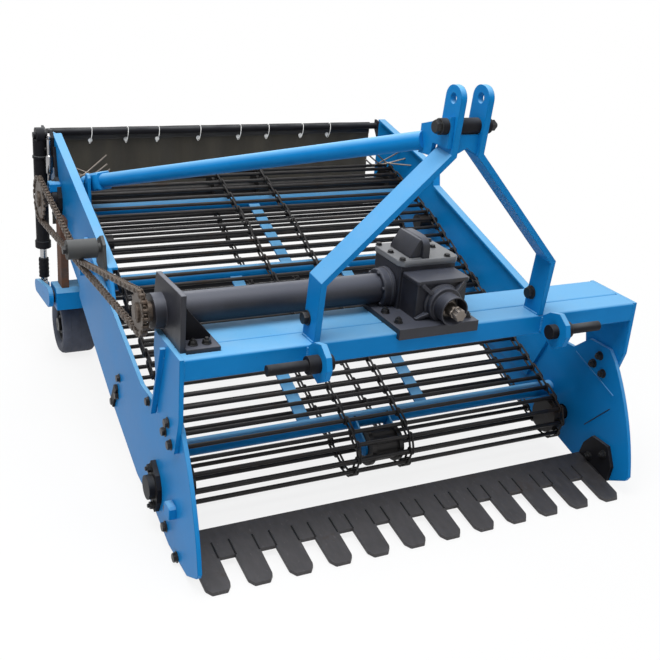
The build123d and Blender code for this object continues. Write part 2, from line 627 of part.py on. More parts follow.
def flange_bearing(y, z, side, face, bore):
    """Adds a two-bolt flange bearing on the outside of a side plate."""
    cos_tilt = math.cos(BEARING_TILT)
    sin_tilt = math.sin(BEARING_TILT)
    turned = [(a * cos_tilt - b * sin_tilt, a * sin_tilt + b * cos_tilt) for a, b in FLANGE_DIAMOND]
    low = x_low(side, face, face + BEARING_FLANGE)
    boss_low = x_low(side, face + BEARING_FLANGE, face + BEARING_FLANGE + BEARING_BOSS)
    slab(around(y, z, turned), low, BEARING_FLANGE)
    disc(y, z, boss_low, boss_low + BEARING_BOSS, BEARING_BOSS_R)
    if bore > 0:
        reach = BEARING_FLANGE + BEARING_BOSS
        disc(y, z, min(low, boss_low), min(low, boss_low) + reach, bore, mode=Mode.SUBTRACT)


with BuildPart() as flange_bearings:
    for side in SIDES:
        flange_bearing(*WEB_FRONT[:2], side, FRONT_PLATE_OUT, 0.0)
        flange_bearing(*WEB_REAR[:2], side, REAR_PLATE_OUT, ROLLER_SHAFT_R if side < 0 else 0.0)
keep(flange_bearings, "flange_bearings")

# Digging blade with fingers, rising to the rear
BLADE_LEVEL = Plane(origin=(0, BLADE_TIP_Y, 0), x_dir=(1, 0, 0), z_dir=(0, 0, 1))
BLADE_PLANE = BLADE_LEVEL.rotated((BLADE_SLOPE, 0, 0))
TIP_HALF = 22.0
TIP_CUT = 24.0
blade_outline = [(-BLADE_HALF, BLADE_LENGTH), (-BLADE_HALF, FINGER_LENGTH)]
for k in range(FINGER_COUNT):
    middle = (k - (FINGER_COUNT - 1) / 2) * FINGER_PITCH
    half = FINGER_WIDTH / 2
    blade_outline += [(middle - half, FINGER_LENGTH), (middle - half, TIP_CUT), (middle - TIP_HALF, 0),
                      (middle + TIP_HALF, 0), (middle + half, TIP_CUT), (middle + half, FINGER_LENGTH)]
blade_outline += [(BLADE_HALF, FINGER_LENGTH), (BLADE_HALF, BLADE_LENGTH)]
with BuildPart() as share_blade:
    with BuildSketch(BLADE_PLANE):
        with BuildLine():
            Polyline(*blade_outline, close=True)
        make_face()
    extrude(amount=BLADE_THICK)
keep(share_blade, "share_blade")

TAB_OUTLINE = ((-64, 20), (78, 46), (66, 92), (34, 132), (-40, 132), (-72, 74))
with BuildPart() as share_tabs:
    for side in SIDES:
        slab(TAB_OUTLINE, x_low(side, BLADE_HALF, FRONT_PLATE_IN), TAB_THICK)
keep(share_tabs, "share_tabs")

# Rear curtain: a bar between two arms behind the side plates, and the sheet that hangs from it
CURTAIN_BAR_Z = CURTAIN_TOP - CURTAIN_BAR_R
CURTAIN_ARM_SEAT = ((1592, 806), (1560, 796), (1560, 740), (1592, 700))
CURTAIN_ARM_END = ((12, -11), (12, 25))
CURTAIN_ARM_THICK = 8.0
with BuildPart() as curtain_frame:
    for side in SIDES:
        slab(list(CURTAIN_ARM_SEAT) + around(CURTAIN_Y, CURTAIN_BAR_Z, CURTAIN_ARM_END),
             x_low(side, REAR_PLATE_OUT, REAR_PLATE_OUT + CURTAIN_ARM_THICK), CURTAIN_ARM_THICK)
    disc(CURTAIN_Y, CURTAIN_BAR_Z, -REAR_PLATE_OUT, REAR_PLATE_OUT, CURTAIN_BAR_R)
keep(curtain_frame, "curtain_frame")
with BuildPart() as curtain_sheet:
    with Locations((0, CURTAIN_Y + CURTAIN_BAR_R + CURTAIN_THICK / 2, (CURTAIN_TOP + CURTAIN_BOTTOM) / 2)):
        Box(2 * CURTAIN_HALF, CURTAIN_THICK, CURTAIN_TOP - CURTAIN_BOTTOM)
keep(curtain_sheet, "curtain_sheet")

# Thin guide tines at the rear of each plate, cut off flush with its inner face
TINE_R = 4.0
TINE_LENGTH = 190.0
TINES = ((1300.0, 700.0), (1350.0, 716.0), (1400.0, 732.0))
TINE_LEAN = (0.42, 0.78, 0.46)
with BuildPart() as guide_tines:
    for side in SIDES:
        for y, z in TINES:
            lean = (-side * TINE_LEAN[0], TINE_LEAN[1], TINE_LEAN[2])
            with BuildSketch(Plane(origin=(side * REAR_PLATE_IN, y, z), z_dir=lean)):
                Circle(TINE_R)
            extrude(amount=TINE_LENGTH)
            with Locations((side * (REAR_PLATE_IN + TINE_R), y, z)):
                Box(2 * TINE_R, 8 * TINE_R, 8 * TINE_R, mode=Mode.SUBTRACT)
keep(guide_tines, "guide_tines")

# Wheel posts under the rear plates, with the pivot boxes at their feet
BOX_INSET = 11.0
LEVER_GAP = 8.0
BOX_IN = WHEEL_X - BOX_INSET
BOX_OUT = LEVER_IN - LEVER_GAP
BOX_RISE = 42.0
PIVOT_BOX = ((-48, -36), (-48, 28), (-30, BOX_RISE), (42, BOX_RISE), (52, 32), (52, -36))
POST_FOOT = PIVOT_Z + BOX_RISE
POST_TOP = 560.0
POST_HALF = 32.0
POST_THICK = 26.0
with BuildPart() as wheel_posts:
    for side in SIDES:
        strip = ((PIVOT_Y - POST_HALF, POST_FOOT), (PIVOT_Y - POST_HALF, POST_TOP),
                 (PIVOT_Y + POST_HALF, POST_TOP), (PIVOT_Y + POST_HALF, POST_FOOT))
        slab(strip, x_low(side, REAR_PLATE_OUT, REAR_PLATE_OUT + POST_THICK), POST_THICK)
keep(wheel_posts, "wheel_posts")
PIVOT_GAP = 0.4
with BuildPart() as pivot_boxes:
    for side in SIDES:
        slab(around(PIVOT_Y, PIVOT_Z, PIVOT_BOX), x_low(side, BOX_IN, BOX_OUT), BOX_OUT - BOX_IN,
             ((PIVOT_Y, PIVOT_Z, ROCK_SHAFT_R + PIVOT_GAP),))
keep(pivot_boxes, "pivot_boxes")

# Rock shaft, inner wheel arms with axles, and the lift lever outside on the left
WHEEL_SIDE_GAP = 8.0
WHEEL_ARM_THICK = 16.0
WHEEL_ARM_OUT = WHEEL_X - WHEEL_HALF - WHEEL_SIDE_GAP
WHEEL_ARM_IN = WHEEL_ARM_OUT - WHEEL_ARM_THICK
ARM_PIVOT_R = 36.0
ARM_AXLE_R = 30.0
LEVER_EYE_R = 24.0
ARM_FIT = 0.2
AXLE_R = 15.0
AXLE_NUT_R = 24.0
AXLE_NUT = 6.0
RIM_HALF = WHEEL_HALF - 12.0
AXLE_END = WHEEL_X + RIM_HALF + 2.0
wheel_arm = shifted(belt_path([(PIVOT_Y, PIVOT_Z, ARM_PIVOT_R), (WHEEL_Y, WHEEL_R, ARM_AXLE_R)]), 0.0)
LEVER_EYE = (LIFT_EYE_Y, LIFT_EYE_Z, LEVER_EYE_R)
lift_lever = shifted(belt_path([(PIVOT_Y, PIVOT_Z, ARM_PIVOT_R), LEVER_EYE]), 0.0)
with BuildPart() as rock_shaft:
    disc(PIVOT_Y, PIVOT_Z, -LEVER_IN, LEVER_IN, ROCK_SHAFT_R)
keep(rock_shaft, "rock_shaft")
with BuildPart() as wheel_arms:
    slab(lift_lever, -LEVER_IN - LEVER_THICK, LEVER_THICK)
    disc(LIFT_EYE_Y, LIFT_EYE_Z, -LEVER_IN, LIFT_X + 17.0, LIFT_PIN_R)
    for side in SIDES:
        slab(wheel_arm, x_low(side, WHEEL_ARM_IN, WHEEL_ARM_OUT), WHEEL_ARM_THICK,
             ((PIVOT_Y, PIVOT_Z, ROCK_SHAFT_R + ARM_FIT),))
        low = x_low(side, WHEEL_ARM_OUT, AXLE_END)
        disc(WHEEL_Y, WHEEL_R, low, low + AXLE_END - WHEEL_ARM_OUT, AXLE_R)
        low = x_low(side, AXLE_END, AXLE_END + AXLE_NUT)
        disc(WHEEL_Y, WHEEL_R, low, low + AXLE_NUT, AXLE_NUT_R)
keep(wheel_arms, "wheel_arms")

# Lift cylinder: barrel hung from a bracket on the left rear plate, rod down to the lever
BARREL_R = 24.0
BARREL_BORE = 18.0
BARREL_LOW = 392.0
BARREL_TOP = LIFT_TOP_Z - 13.0
BARREL_END = 30.0
GLAND = 30.0
GLAND_GAP = 0.4
TOP_EYE_R = 28.0
TOP_EYE_HALF = 14.0
TOP_PIN_R = 12.0
TOP_PIN_GAP = 0.5
TOP_PIN_END = LIFT_X - 23.0
ROD_RADIUS = 12.5
ROD_LENGTH = 400.0
ROD_EYE_R = 27.0
ROD_EYE_HALF = 9.0
ROD_EYE_BORE = LIFT_PIN_R + 7.5
LIFT_PLATE_THICK = 12.0
LIFT_PLATE = ((-50, -105), (36, -105), (36, 10), (20, 20), (-30, 24), (-50, 1))
with BuildPart() as lift_bracket:
    slab(around(LIFT_EYE_Y, LIFT_TOP_Z, LIFT_PLATE), -REAR_PLATE_OUT - LIFT_PLATE_THICK, LIFT_PLATE_THICK)
    disc(LIFT_EYE_Y, LIFT_TOP_Z, TOP_PIN_END, -REAR_PLATE_OUT - LIFT_PLATE_THICK, TOP_PIN_R)
keep(lift_bracket, "lift_bracket")
BARREL_STEPS = ((BARREL_LOW, BARREL_TOP, BARREL_R, Mode.ADD),
                (BARREL_LOW, BARREL_LOW + GLAND, ROD_RADIUS + GLAND_GAP, Mode.SUBTRACT),
                (BARREL_LOW + GLAND, BARREL_TOP - BARREL_END - TOP_EYE_R, BARREL_BORE, Mode.SUBTRACT))
with BuildPart() as cylinder_barrel:
    disc(LIFT_EYE_Y, LIFT_TOP_Z, LIFT_X - TOP_EYE_HALF, LIFT_X + TOP_EYE_HALF, TOP_EYE_R)
    for low, high, radius, mode in BARREL_STEPS:
        with BuildSketch(Plane.XY.offset(low)):
            with Locations((LIFT_X, LIFT_EYE_Y)):
                Circle(radius)
        extrude(amount=high - low, mode=mode)
    pin_hole_r = TOP_PIN_R + TOP_PIN_GAP
    disc(LIFT_EYE_Y, LIFT_TOP_Z, LIFT_X - BARREL_R, LIFT_X + BARREL_R, pin_hole_r, mode=Mode.SUBTRACT)
keep(cylinder_barrel, "cylinder_barrel")
with BuildPart() as cylinder_rod:
    with BuildSketch(Plane.XY.offset(LIFT_EYE_Z + ROD_EYE_BORE)):
        with Locations((LIFT_X, LIFT_EYE_Y)):
            Circle(ROD_RADIUS)
    extrude(amount=ROD_LENGTH)
    disc(LIFT_EYE_Y, LIFT_EYE_Z, LIFT_X - ROD_EYE_HALF, LIFT_X + ROD_EYE_HALF, ROD_EYE_R)
    disc(LIFT_EYE_Y, LIFT_EYE_Z, LIFT_X - ROD_RADIUS, LIFT_X + ROD_RADIUS, ROD_EYE_BORE, mode=Mode.SUBTRACT)
keep(cylinder_rod, "cylinder_rod")

# Wheels: many-sided solid tyre, flat on the ground, on a disc rim
HUB_BORE = AXLE_R + 0.4
RIM_R = 62.0
TYRE_SIDES = 40
TYRE_EDGE = 12.0
FLAT_DOWN = 180.0 / TYRE_SIDES
for side, word in ((-1, "left"), (1, "right")):
    centre = side * WHEEL_X
    with BuildPart() as tyre:
        with BuildSketch(Plane.YZ.offset(centre - WHEEL_HALF)):
            with Locations((WHEEL_Y, WHEEL_R)):
                RegularPolygon(WHEEL_R, TYRE_SIDES, major_radius=False, rotation=FLAT_DOWN)
        extrude(amount=2 * WHEEL_HALF)
        chamfer(tyre.faces().filter_by(Axis.X).edges(), TYRE_EDGE)
        with BuildSketch(Plane.YZ.offset(centre - WHEEL_HALF)):
            with Locations((WHEEL_Y, WHEEL_R)):
                RegularPolygon(RIM_R, TYRE_SIDES, major_radius=False, rotation=FLAT_DOWN)
        extrude(amount=2 * WHEEL_HALF, mode=Mode.SUBTRACT)
    keep(tyre, "tyre_" + word)
    with BuildPart() as rim:
        disc(WHEEL_Y, WHEEL_R, centre - RIM_HALF, centre + RIM_HALF, RIM_R, HUB_BORE)
    keep(rim, "rim_" + word)
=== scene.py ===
import json
import math

import bpy
import numpy as np
from mathutils import Matrix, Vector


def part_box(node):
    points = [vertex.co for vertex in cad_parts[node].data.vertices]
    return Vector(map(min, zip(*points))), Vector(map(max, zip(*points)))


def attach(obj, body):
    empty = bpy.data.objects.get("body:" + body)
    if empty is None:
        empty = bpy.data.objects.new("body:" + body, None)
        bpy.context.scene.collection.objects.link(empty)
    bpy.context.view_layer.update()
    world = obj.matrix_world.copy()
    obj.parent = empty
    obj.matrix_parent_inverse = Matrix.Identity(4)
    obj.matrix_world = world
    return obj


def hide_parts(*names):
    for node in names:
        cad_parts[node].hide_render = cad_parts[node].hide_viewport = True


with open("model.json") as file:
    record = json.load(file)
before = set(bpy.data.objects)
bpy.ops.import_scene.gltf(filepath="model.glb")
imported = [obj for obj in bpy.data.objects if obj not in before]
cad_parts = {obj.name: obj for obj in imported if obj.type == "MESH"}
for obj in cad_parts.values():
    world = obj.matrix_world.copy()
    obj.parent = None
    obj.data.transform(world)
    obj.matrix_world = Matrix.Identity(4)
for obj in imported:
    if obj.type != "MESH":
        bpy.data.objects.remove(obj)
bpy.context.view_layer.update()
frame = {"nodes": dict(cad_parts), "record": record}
CHANCE = np.random.default_rng(11)

# Places are in metres from the beam's front middle on the ground: x across, y to the rear, z up
BEAM_LOW, BEAM_HIGH = np.array(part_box("cross_beam"))
ZERO = np.array([(BEAM_LOW[0] + BEAM_HIGH[0]) / 2, BEAM_LOW[1], 0.0])
BEAM_TOP = BEAM_HIGH[2]
SIDES = (-1.0, 1.0)
LEFT = (-1.0, 0.0, 0.0)
RIGHT = (1.0, 0.0, 0.0)
UP = (0.0, 0.0, 1.0)
FORWARD = (0.0, -1.0, 0.0)
REARWARD = (0.0, 1.0, 0.0)

# Faces of the frame across x: end posts, side plates, and both sides of a mast foot and a hitch lug
POST_FACE = 0.720
PLATE_FACE = 0.708
PLATE_BACK = 0.696
MAST_FOOT = (0.348, 0.364)
HITCH_LUG = (0.364, 0.380)

# Photograph's camera
IMAGE_PX = 660
FOCAL_PX = 988.02
SENSOR = 36.0
CAMERA_PLACE = (-1.420, -2.042, 1.617)
CAMERA_YAW = math.radians(28.28)
CAMERA_PITCH = math.radians(22.92)
CAMERA_ROLL = math.radians(-4.91)

# Rod web: turning circles (y, z, r), rods and link lines
WEB_TURNS = ((0.200, 0.135, 0.068), (1.075, 0.538, 0.040), (1.400, 0.608, 0.068))
ROD_R = 0.0065
ROD_COUNT = 66
LINK_LINES = (-0.634, -0.118, 0.062, 0.634)
LINK_WIRE = 0.0034
LINK_STAGGER = 0.0036

# Chain drive
CHAIN_X = -0.765
CHAIN_PITCH = 0.0214
DRIVE = (0.185, 0.660, 0.055)
TENSION = (0.800, 0.622, -0.039)
DRIVEN = (1.400, 0.608, 0.075)

# Wheels
WHEEL_Y = 1.430
WHEEL_R = 0.110
WHEEL_X = 0.651
AXLE_CAP_X = 0.7026


def at(points):
    """Machine places moved to the row frame."""
    return np.asarray(points, float) + ZERO


def box_of(node):
    """A node's box as two machine places, low and high."""
    return np.array(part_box(node)) - ZERO


# Shapes: a shape is its vertices and its faces, grouped by their number of corners


def grid(points, wrap_u=False, wrap_v=False, ends=False):
    """A surface sampled on a grid [u, v, xyz]: one quad per cell, and a polygon over each open u end."""
    nu, nv = points.shape[:2]
    number = np.arange(nu * nv).reshape(nu, nv)
    rims = np.stack([number[0, ::-1], number[-1]])
    if wrap_u:
        number = np.vstack([number, number[:1]])
    if wrap_v:
        number = np.hstack([number, number[:, :1]])
    quads = np.stack([number[:-1, :-1], number[:-1, 1:], number[1:, 1:], number[1:, :-1]], -1).reshape(-1, 4)
    shape = (points.reshape(-1, 3), {4: quads})
    return with_faces(shape, rims) if ends else shape


def with_faces(shape, polygons):
    """The shape with more faces of one size over its own vertices."""
    points, faces = shape
    size = polygons.shape[1]
    faces = dict(faces)
    faces[size] = np.concatenate([faces[size], polygons]) if size in faces else polygons
    return points, faces


def outward(shape):
    """A closed shape with its faces pointing out, so that the volume its face fans enclose is positive."""
    points, faces = shape
    volume = 0.0
    for polygons in faces.values():
        corner = points[polygons]
        volume += np.einsum("nj,nkj->", corner[:, 0], np.cross(corner[:, 1:-1], corner[:, 2:]))
    return shape if volume > 0 else (points, {size: p[:, ::-1] for size, p in faces.items()})


def join(*shapes):
    """Several shapes as one, with their faces renumbered."""
    starts = np.cumsum([0] + [len(points) for points, faces in shapes])
    sizes = sorted({size for points, faces in shapes for size in faces})
    faces = {size: np.concatenate([f[size] + start for (p, f), start in zip(shapes, starts) if size in f])
             for size in sizes}
    return np.concatenate([points for points, f in shapes]), faces


UNTURNED = np.eye(3)[None]


def repeat(shape, axes, origins):
    """Copies of a shape: axes [copy, 3, xyz], or one set for all, are where its x, y and z point, and origins
    [copy, xyz] its zero."""
    points, faces = shape
    placed = np.einsum("vi,cij->cvj", points, axes) + np.asarray(origins)[:, None]
    steps = (np.arange(len(origins)) * len(points))[:, None, None]
    return placed.reshape(-1, 3), {size: (p + steps).reshape(-1, size) for size, p in faces.items()}


def unit(vectors):
    """Vectors brought to length one."""
    return vectors / np.linalg.norm(vectors, axis=-1, keepdims=True)


def facing(directions, spins=np.zeros(1)):
    """Axes with z along each direction, turned about it by the spin."""
    z = unit(np.asarray(directions, float))
    helper = np.where(np.abs(z[:, 2:]) > 0.9, RIGHT, UP)
    x = unit(np.cross(helper, z))
    y = np.cross(z, x)
    c = np.cos(spins)[:, None]
    s = np.sin(spins)[:, None]
    return np.stack([x * c + y * s, y * c - x * s, z], 1)


def placed(shape, origin, direction):
    """One copy of a shape with its z along the direction, at a machine place."""
    return repeat(shape, facing([direction]), at([origin]))


def full_turn(count):
    """Even angles round a circle."""
    return np.linspace(0, 2 * np.pi, count, endpoint=False)


def around(radius, turn):
    """(x, y) on circles about zero: radius times cosine and sine."""
    return np.stack([radius * np.cos(turn), radius * np.sin(turn)], -1)


def stacked(rings):
    """Outlines in x, y, each at its height, joined up in their order and closed at both ends."""
    points = np.stack([np.column_stack([ring, np.full(len(ring), z)]) for ring, z in rings])
    return outward(grid(points, wrap_v=True, ends=True))


def mirrored(half):
    """A profile and its mirror image across zero height."""
    return half + [(radius, -height) for radius, height in half[::-1]]


def lathe(profile, sides, ring=False):
    """(radius, height) pairs turned about z: x, y = radius times cosine, sine. A ring's profile is closed."""
    turn = full_turn(sides)
    radius, height = np.asarray(profile, float).T
    points = np.stack([np.outer(radius, np.cos(turn)), np.outer(radius, np.sin(turn)),
                       np.repeat(height[:, None], sides, 1)], -1)
    return outward(grid(points, wrap_u=ring, wrap_v=True, ends=not ring))


def prism(outline, low, high, edge):
    """An outline in x, y carried along z from low to high, its rims drawn in towards its middle by edge."""
    outline = np.asarray(outline, float)
    middle = outline.mean(0)
    drawn = middle + (outline - middle) * (1 - edge / np.linalg.norm(outline - middle, axis=1).min())
    return stacked(((drawn, low), (outline, low + edge), (outline, high - edge), (drawn, high)))


def plate_x(outline, low, high, edge):
    """An outline in y, z carried across x between two machine places."""
    return placed(prism(outline, low, high, edge), (0.0, 0.0, 0.0), RIGHT)


def plate_y(outline, low, high, edge):
    """An outline in x, z carried along y between two machine places."""
    points, faces = prism(outline, low, high, edge)
    return outward((at(points[:, [0, 2, 1]]), faces))


def cut_corners(low, high, cut):
    """A rectangle's outline from its two far corners, with each corner cut off."""
    (a, b), (c, d) = low, high
    return np.array([(a + cut, b), (c - cut, b), (c, b + cut), (c, d - cut), (c - cut, d), (a + cut, d),
                     (a, d - cut), (a, b + cut)])


def tube(path, radius, sides=10, closed=False, up=UP):
    """A circle carried square to a path: point + radius (cosine side + sine over). Open ends are flat."""
    path = np.asarray(path, float)
    ahead = unit(np.roll(path, -1, 0) - np.roll(path, 1, 0) if closed else np.gradient(path, axis=0))
    side = unit(np.cross(ahead, np.broadcast_to(up, ahead.shape)))
    over = np.cross(side, ahead)
    turn = full_turn(sides)[:, None]
    radius = np.broadcast_to(radius, len(path))[:, None, None]
    points = path[:, None] + radius * (np.cos(turn) * side[:, None] + np.sin(turn) * over[:, None])
    return outward(grid(points, wrap_u=closed, wrap_v=True, ends=not closed))


ARC_STEPS = 160


def belt(circles, count):
    """Places at even steps along a closed belt round circles (y, z, r), and its length. It runs on each
    circle's arc and on the tangents between. A circle with r below 0 bears on it from outside."""
    y, z, r = np.asarray(circles, float).T
    dy = np.roll(y, -1) - y
    dz = np.roll(z, -1) - z
    far = np.hypot(dy, dz)
    along = (r - np.roll(r, -1)) / far
    across = np.sqrt(1 - along ** 2)
    leave = np.arctan2((dz * along + dy * across) / far, (dy * along - dz * across) / far)
    enter = np.roll(leave, 1)
    turn = (enter - leave) % (2 * np.pi)
    turn = np.where(r < 0, turn - 2 * np.pi, turn)
    angle = enter[:, None] - turn[:, None] * np.linspace(0, 1, ARC_STEPS)
    line = np.stack([y, z], -1)[:, None] + around(r[:, None], angle)
    line = np.concatenate([line.reshape(-1, 2), line[0, :1]])
    walked = np.concatenate([[0], np.cumsum(np.hypot(*np.diff(line, axis=0).T))])
    steps = np.linspace(0, walked[-1], count, endpoint=False)
    return np.stack([np.interp(steps, walked, line[:, k]) for k in (0, 1)], -1), walked[-1]


def along_belt(ahead):
    """Axes of links on a belt in y, z: x across, y ahead, z square to both."""
    flat = np.column_stack([np.zeros(len(ahead)), unit(ahead)])
    upright = np.column_stack([np.zeros(len(ahead)), -flat[:, 2], flat[:, 1]])
    return np.stack([np.broadcast_to(RIGHT, flat.shape), flat, upright], 1)


def across_x(x, places):
    """(y, z) places set at one x, in the row frame."""
    return at(np.column_stack([np.full(len(places), x), places]))


# Finishes


NOISE_ROUGHNESS = 0.55


class Socket:
    """A node's output; arithmetic on it adds Math nodes to the same finish."""

    def __init__(self, finish, link):
        self.finish = finish
        self.link = link

    def math(self, operation, a, b):
        return self.finish.node("ShaderNodeMath", {0: a, 1: b}, operation=operation)

    def __add__(self, other):
        return self.math("ADD", self, other)

    def __radd__(self, other):
        return self.math("ADD", other, self)

    def __rsub__(self, other):
        return self.math("SUBTRACT", other, self)

    def __mul__(self, other):
        return self.math("MULTIPLY", self, other)

    def __rmul__(self, other):
        return self.math("MULTIPLY", other, self)


class Finish:
    """A procedural material in the making: node() adds any node and returns one of its outputs."""

    def __init__(self, name):
        self.material = bpy.data.materials.new(name)
        self.material.use_nodes = True
        self.tree = self.material.node_tree
        self.surface = self.tree.nodes["Principled BSDF"]
        self.place = self.node("ShaderNodeTexCoord", out="Object")

    def node(self, kind, inputs=None, out=0, **settings):
        made = self.tree.nodes.new(kind)
        for key, value in settings.items():
            setattr(made, key, value)
        for key, value in (inputs or {}).items():
            self.feed(made.inputs[key], value)
        return Socket(self, made.outputs[out])

    def feed(self, socket, value):
        if isinstance(value, Socket):
            self.tree.links.new(value.link, socket)
        else:
            socket.default_value = value

    def noise(self, scale, detail=4.0, stretch=(1.0, 1.0, 1.0)):
        spot = self.node("ShaderNodeMapping", {"Vector": self.place, "Scale": stretch})
        inputs = {"Vector": spot, "Scale": scale, "Detail": detail, "Roughness": NOISE_ROUGHNESS}
        return self.node("ShaderNodeTexNoise", inputs)

    def fade(self, value, low, high):
        inputs = {"Value": value, "From Min": low, "From Max": high}
        return self.node("ShaderNodeMapRange", inputs, interpolation_type="SMOOTHSTEP")

    def mix(self, share, a, b):
        a = a if isinstance(a, Socket) else (*a, 1.0)
        b = b if isinstance(b, Socket) else (*b, 1.0)
        return self.node("ShaderNodeMix", {0: share, 6: a, 7: b}, 2, data_type="RGBA")

    def rounded(self, radius):
        return self.node("ShaderNodeBevel", {"Radius": radius}, samples=6)

    def along(self, way):
        flat = self.node("ShaderNodeNewGeometry", out="Normal")
        return self.node("ShaderNodeVectorMath", {0: flat, 1: way}, "Value", operation="DOT_PRODUCT")

    def edges(self, rounded):
        return 1.0 - self.along(rounded)

    def upward(self):
        return self.along(UP)

    def bump(self, height, distance, strength=1.0, over=None):
        inputs = {"Height": height, "Distance": distance, "Strength": strength}
        if over is not None:
            inputs["Normal"] = over
        return self.node("ShaderNodeBump", inputs)

    def done(self, colour, roughness, normal=None, metallic=0.0, **constants):
        self.feed(self.surface.inputs["Base Color"], colour)
        self.feed(self.surface.inputs["Roughness"], roughness)
        self.feed(self.surface.inputs["Metallic"], metallic)
        if normal is not None:
            self.feed(self.surface.inputs["Normal"], normal)
        for key, value in constants.items():
            self.surface.inputs[key.replace("_", " ")].default_value = value
        return self.material


def shaded(colour, factor):
    """A colour made lighter or darker by a factor."""
    return tuple(min(1.0, factor * c) for c in colour)


def painted_steel(name, body, pale, painted_top_light, chip, gloss, wear=0.5, rounding=0.003):
    """Brushed-on gloss paint: cloudy colour, upper faces made lighter by a painted top light and greyed by
    dust, chips along rounded edges.
    """
    f = Finish(name)
    rounded = f.rounded(rounding)
    cloud = f.noise(5.0, 5.0)
    fine = f.noise(60.0, 3.0)
    dust = f.fade(f.upward(), 0.35, 1.0) * f.fade(f.noise(9.0, 6.0), 0.35, 0.8)
    paint = f.mix(f.fade(cloud, 0.3, 0.75), body, pale)
    # Painted light: upward faces blend towards a paler colour, a painted top light standing in for light from
    # above.
    paint = f.mix(f.fade(f.upward(), 0.22, 1.0) * 0.9, paint, painted_top_light)
    paint = f.mix(dust * 0.15, paint, GREY_DUST)
    edge = f.edges(rounded) + 0.35 * f.noise(140.0, 4.0)
    chips = f.fade(edge, wear, wear + 0.08)
    specks = f.fade(f.noise(230.0, 2.0), 0.735, 0.755)
    colour = f.mix(chips * 0.8, paint, chip)
    colour = f.mix(specks * 0.5, colour, chip)
    roughness = gloss + 0.18 * cloud + 0.3 * dust + 0.2 * chips
    normal = f.bump(f.noise(14.0, 2.0) + 0.05 * fine, 0.0012, 0.25, rounded)
    return f.done(colour, roughness, normal, Specular_IOR_Level=0.06)


def cast_iron(name, body, pale, oil, casting_top_light):
    """Painted casting: sandy bump, upper faces made lighter by a painted top light, oily brown patches."""
    f = Finish(name)
    rounded = f.rounded(0.005)
    sand = f.noise(180.0, 3.0)
    cloud = f.noise(11.0, 5.0)
    colour = f.mix(f.fade(cloud, 0.3, 0.7), body, pale)
    colour = f.mix(f.fade(f.noise(6.0, 6.0), 0.56, 0.72) * 0.55, colour, oil)
    # Painted light: upper faces blend towards a lighter colour, a painted top light standing in for light from
    # above.
    colour = f.mix(f.fade(f.upward(), 0.2, 1.0) * 0.8, colour, casting_top_light)
    colour = f.mix(f.fade(f.edges(rounded), 0.1, 0.4) * 0.5, colour, shaded(pale, 2.0))
    normal = f.bump(sand + 0.6 * cloud, 0.0012, 0.35, rounded)
    return f.done(colour, 0.34 + 0.3 * cloud, normal, 0.1)


def rolled_steel(name, body, pale, rust, metal=0.55, gloss=0.36, along=(1.0, 12.0, 12.0), rusted=0.6):
    """Hot-rolled steel: dark scale, drawn streaks along the bar, light rubbed spots, rust bloom."""
    f = Finish(name)
    streak = f.noise(26.0, 5.0, stretch=along)
    cloud = f.noise(8.0, 6.0)
    colour = f.mix(f.fade(streak, 0.3, 0.75), body, pale)
    bloom = f.fade(cloud + 0.3 * f.noise(90.0, 4.0), rusted + 0.12, rusted + 0.3)
    colour = f.mix(bloom * 0.7, colour, rust)
    rub = f.fade(f.noise(55.0, 3.0, stretch=along), 0.62, 0.75)
    colour = f.mix(rub * 0.35, colour, shaded(pale, 2.2))
    roughness = gloss + 0.25 * streak + 0.25 * bloom
    normal = f.bump(streak + 0.5 * f.noise(150.0, 3.0), 0.0006, 0.35, f.rounded(0.002))
    return f.done(colour, roughness, normal, metal)


def bright_metal(name, colour, gloss, lines):
    """Ground or plated metal: fine turning lines, soft tarnish."""
    f = Finish(name)
    line = f.noise(lines, 3.0, stretch=(1.0, 1.0, 30.0))
    tarnish = f.noise(14.0, 5.0)
    shade = f.mix(f.fade(tarnish, 0.35, 0.8) * 0.6, colour, shaded(colour, 0.45))
    normal = f.bump(line, 0.0002, 0.2, f.rounded(0.0015))
    return f.done(shade, gloss + 0.15 * tarnish, normal, 0.95)


def rubber(name):
    """Moulded rubber: dull slate with dusty bloom and a fine grain."""
    f = Finish(name)
    cloud = f.noise(18.0, 6.0)
    colour = f.mix(f.fade(cloud, 0.3, 0.8), (0.038, 0.044, 0.064), (0.072, 0.082, 0.115))
    colour = f.mix(f.fade(f.noise(40.0, 4.0), 0.6, 0.8) * 0.3, colour, (0.12, 0.110, 0.095))
    return f.done(colour, 0.72 + 0.2 * cloud, f.bump(f.noise(500.0, 2.0) + cloud, 0.0006, 0.3))


def curtain_weave(name):
    """Coated cloth in its own UV: crossed threads as two sine ridges, and creases."""
    f = Finish(name)
    uv = f.node("ShaderNodeTexCoord", out="UV")
    wave = {"Vector": uv, "Scale": 260.0, "Distortion": 0.6}
    threads = [f.node("ShaderNodeTexWave", wave, bands_direction=way) for way in ("X", "Y")]
    weave = threads[0] * threads[1]
    crease = f.noise(7.0, 5.0, stretch=(2.5, 1.0, 0.6))
    colour = f.mix(f.fade(crease, 0.3, 0.75), (0.017, 0.0145, 0.0095), (0.036, 0.031, 0.021))
    colour = f.mix(weave * 0.3, colour, (0.05, 0.045, 0.033))
    normal = f.bump(weave * 0.25 + crease, 0.004, 0.45)
    return f.done(colour, 0.62 + 0.2 * crease, normal, Sheen_Weight=0.12)


def nylon(name, colour):
    """Moulded nylon with a waxy surface and faint grime."""
    f = Finish(name)
    grime = f.noise(120.0, 4.0)
    shade = f.mix(f.fade(grime, 0.45, 0.8) * 0.5, colour, shaded(colour, 0.6))
    return f.done(shade, 0.35 + 0.2 * grime, f.bump(grime, 0.0003, 0.2))


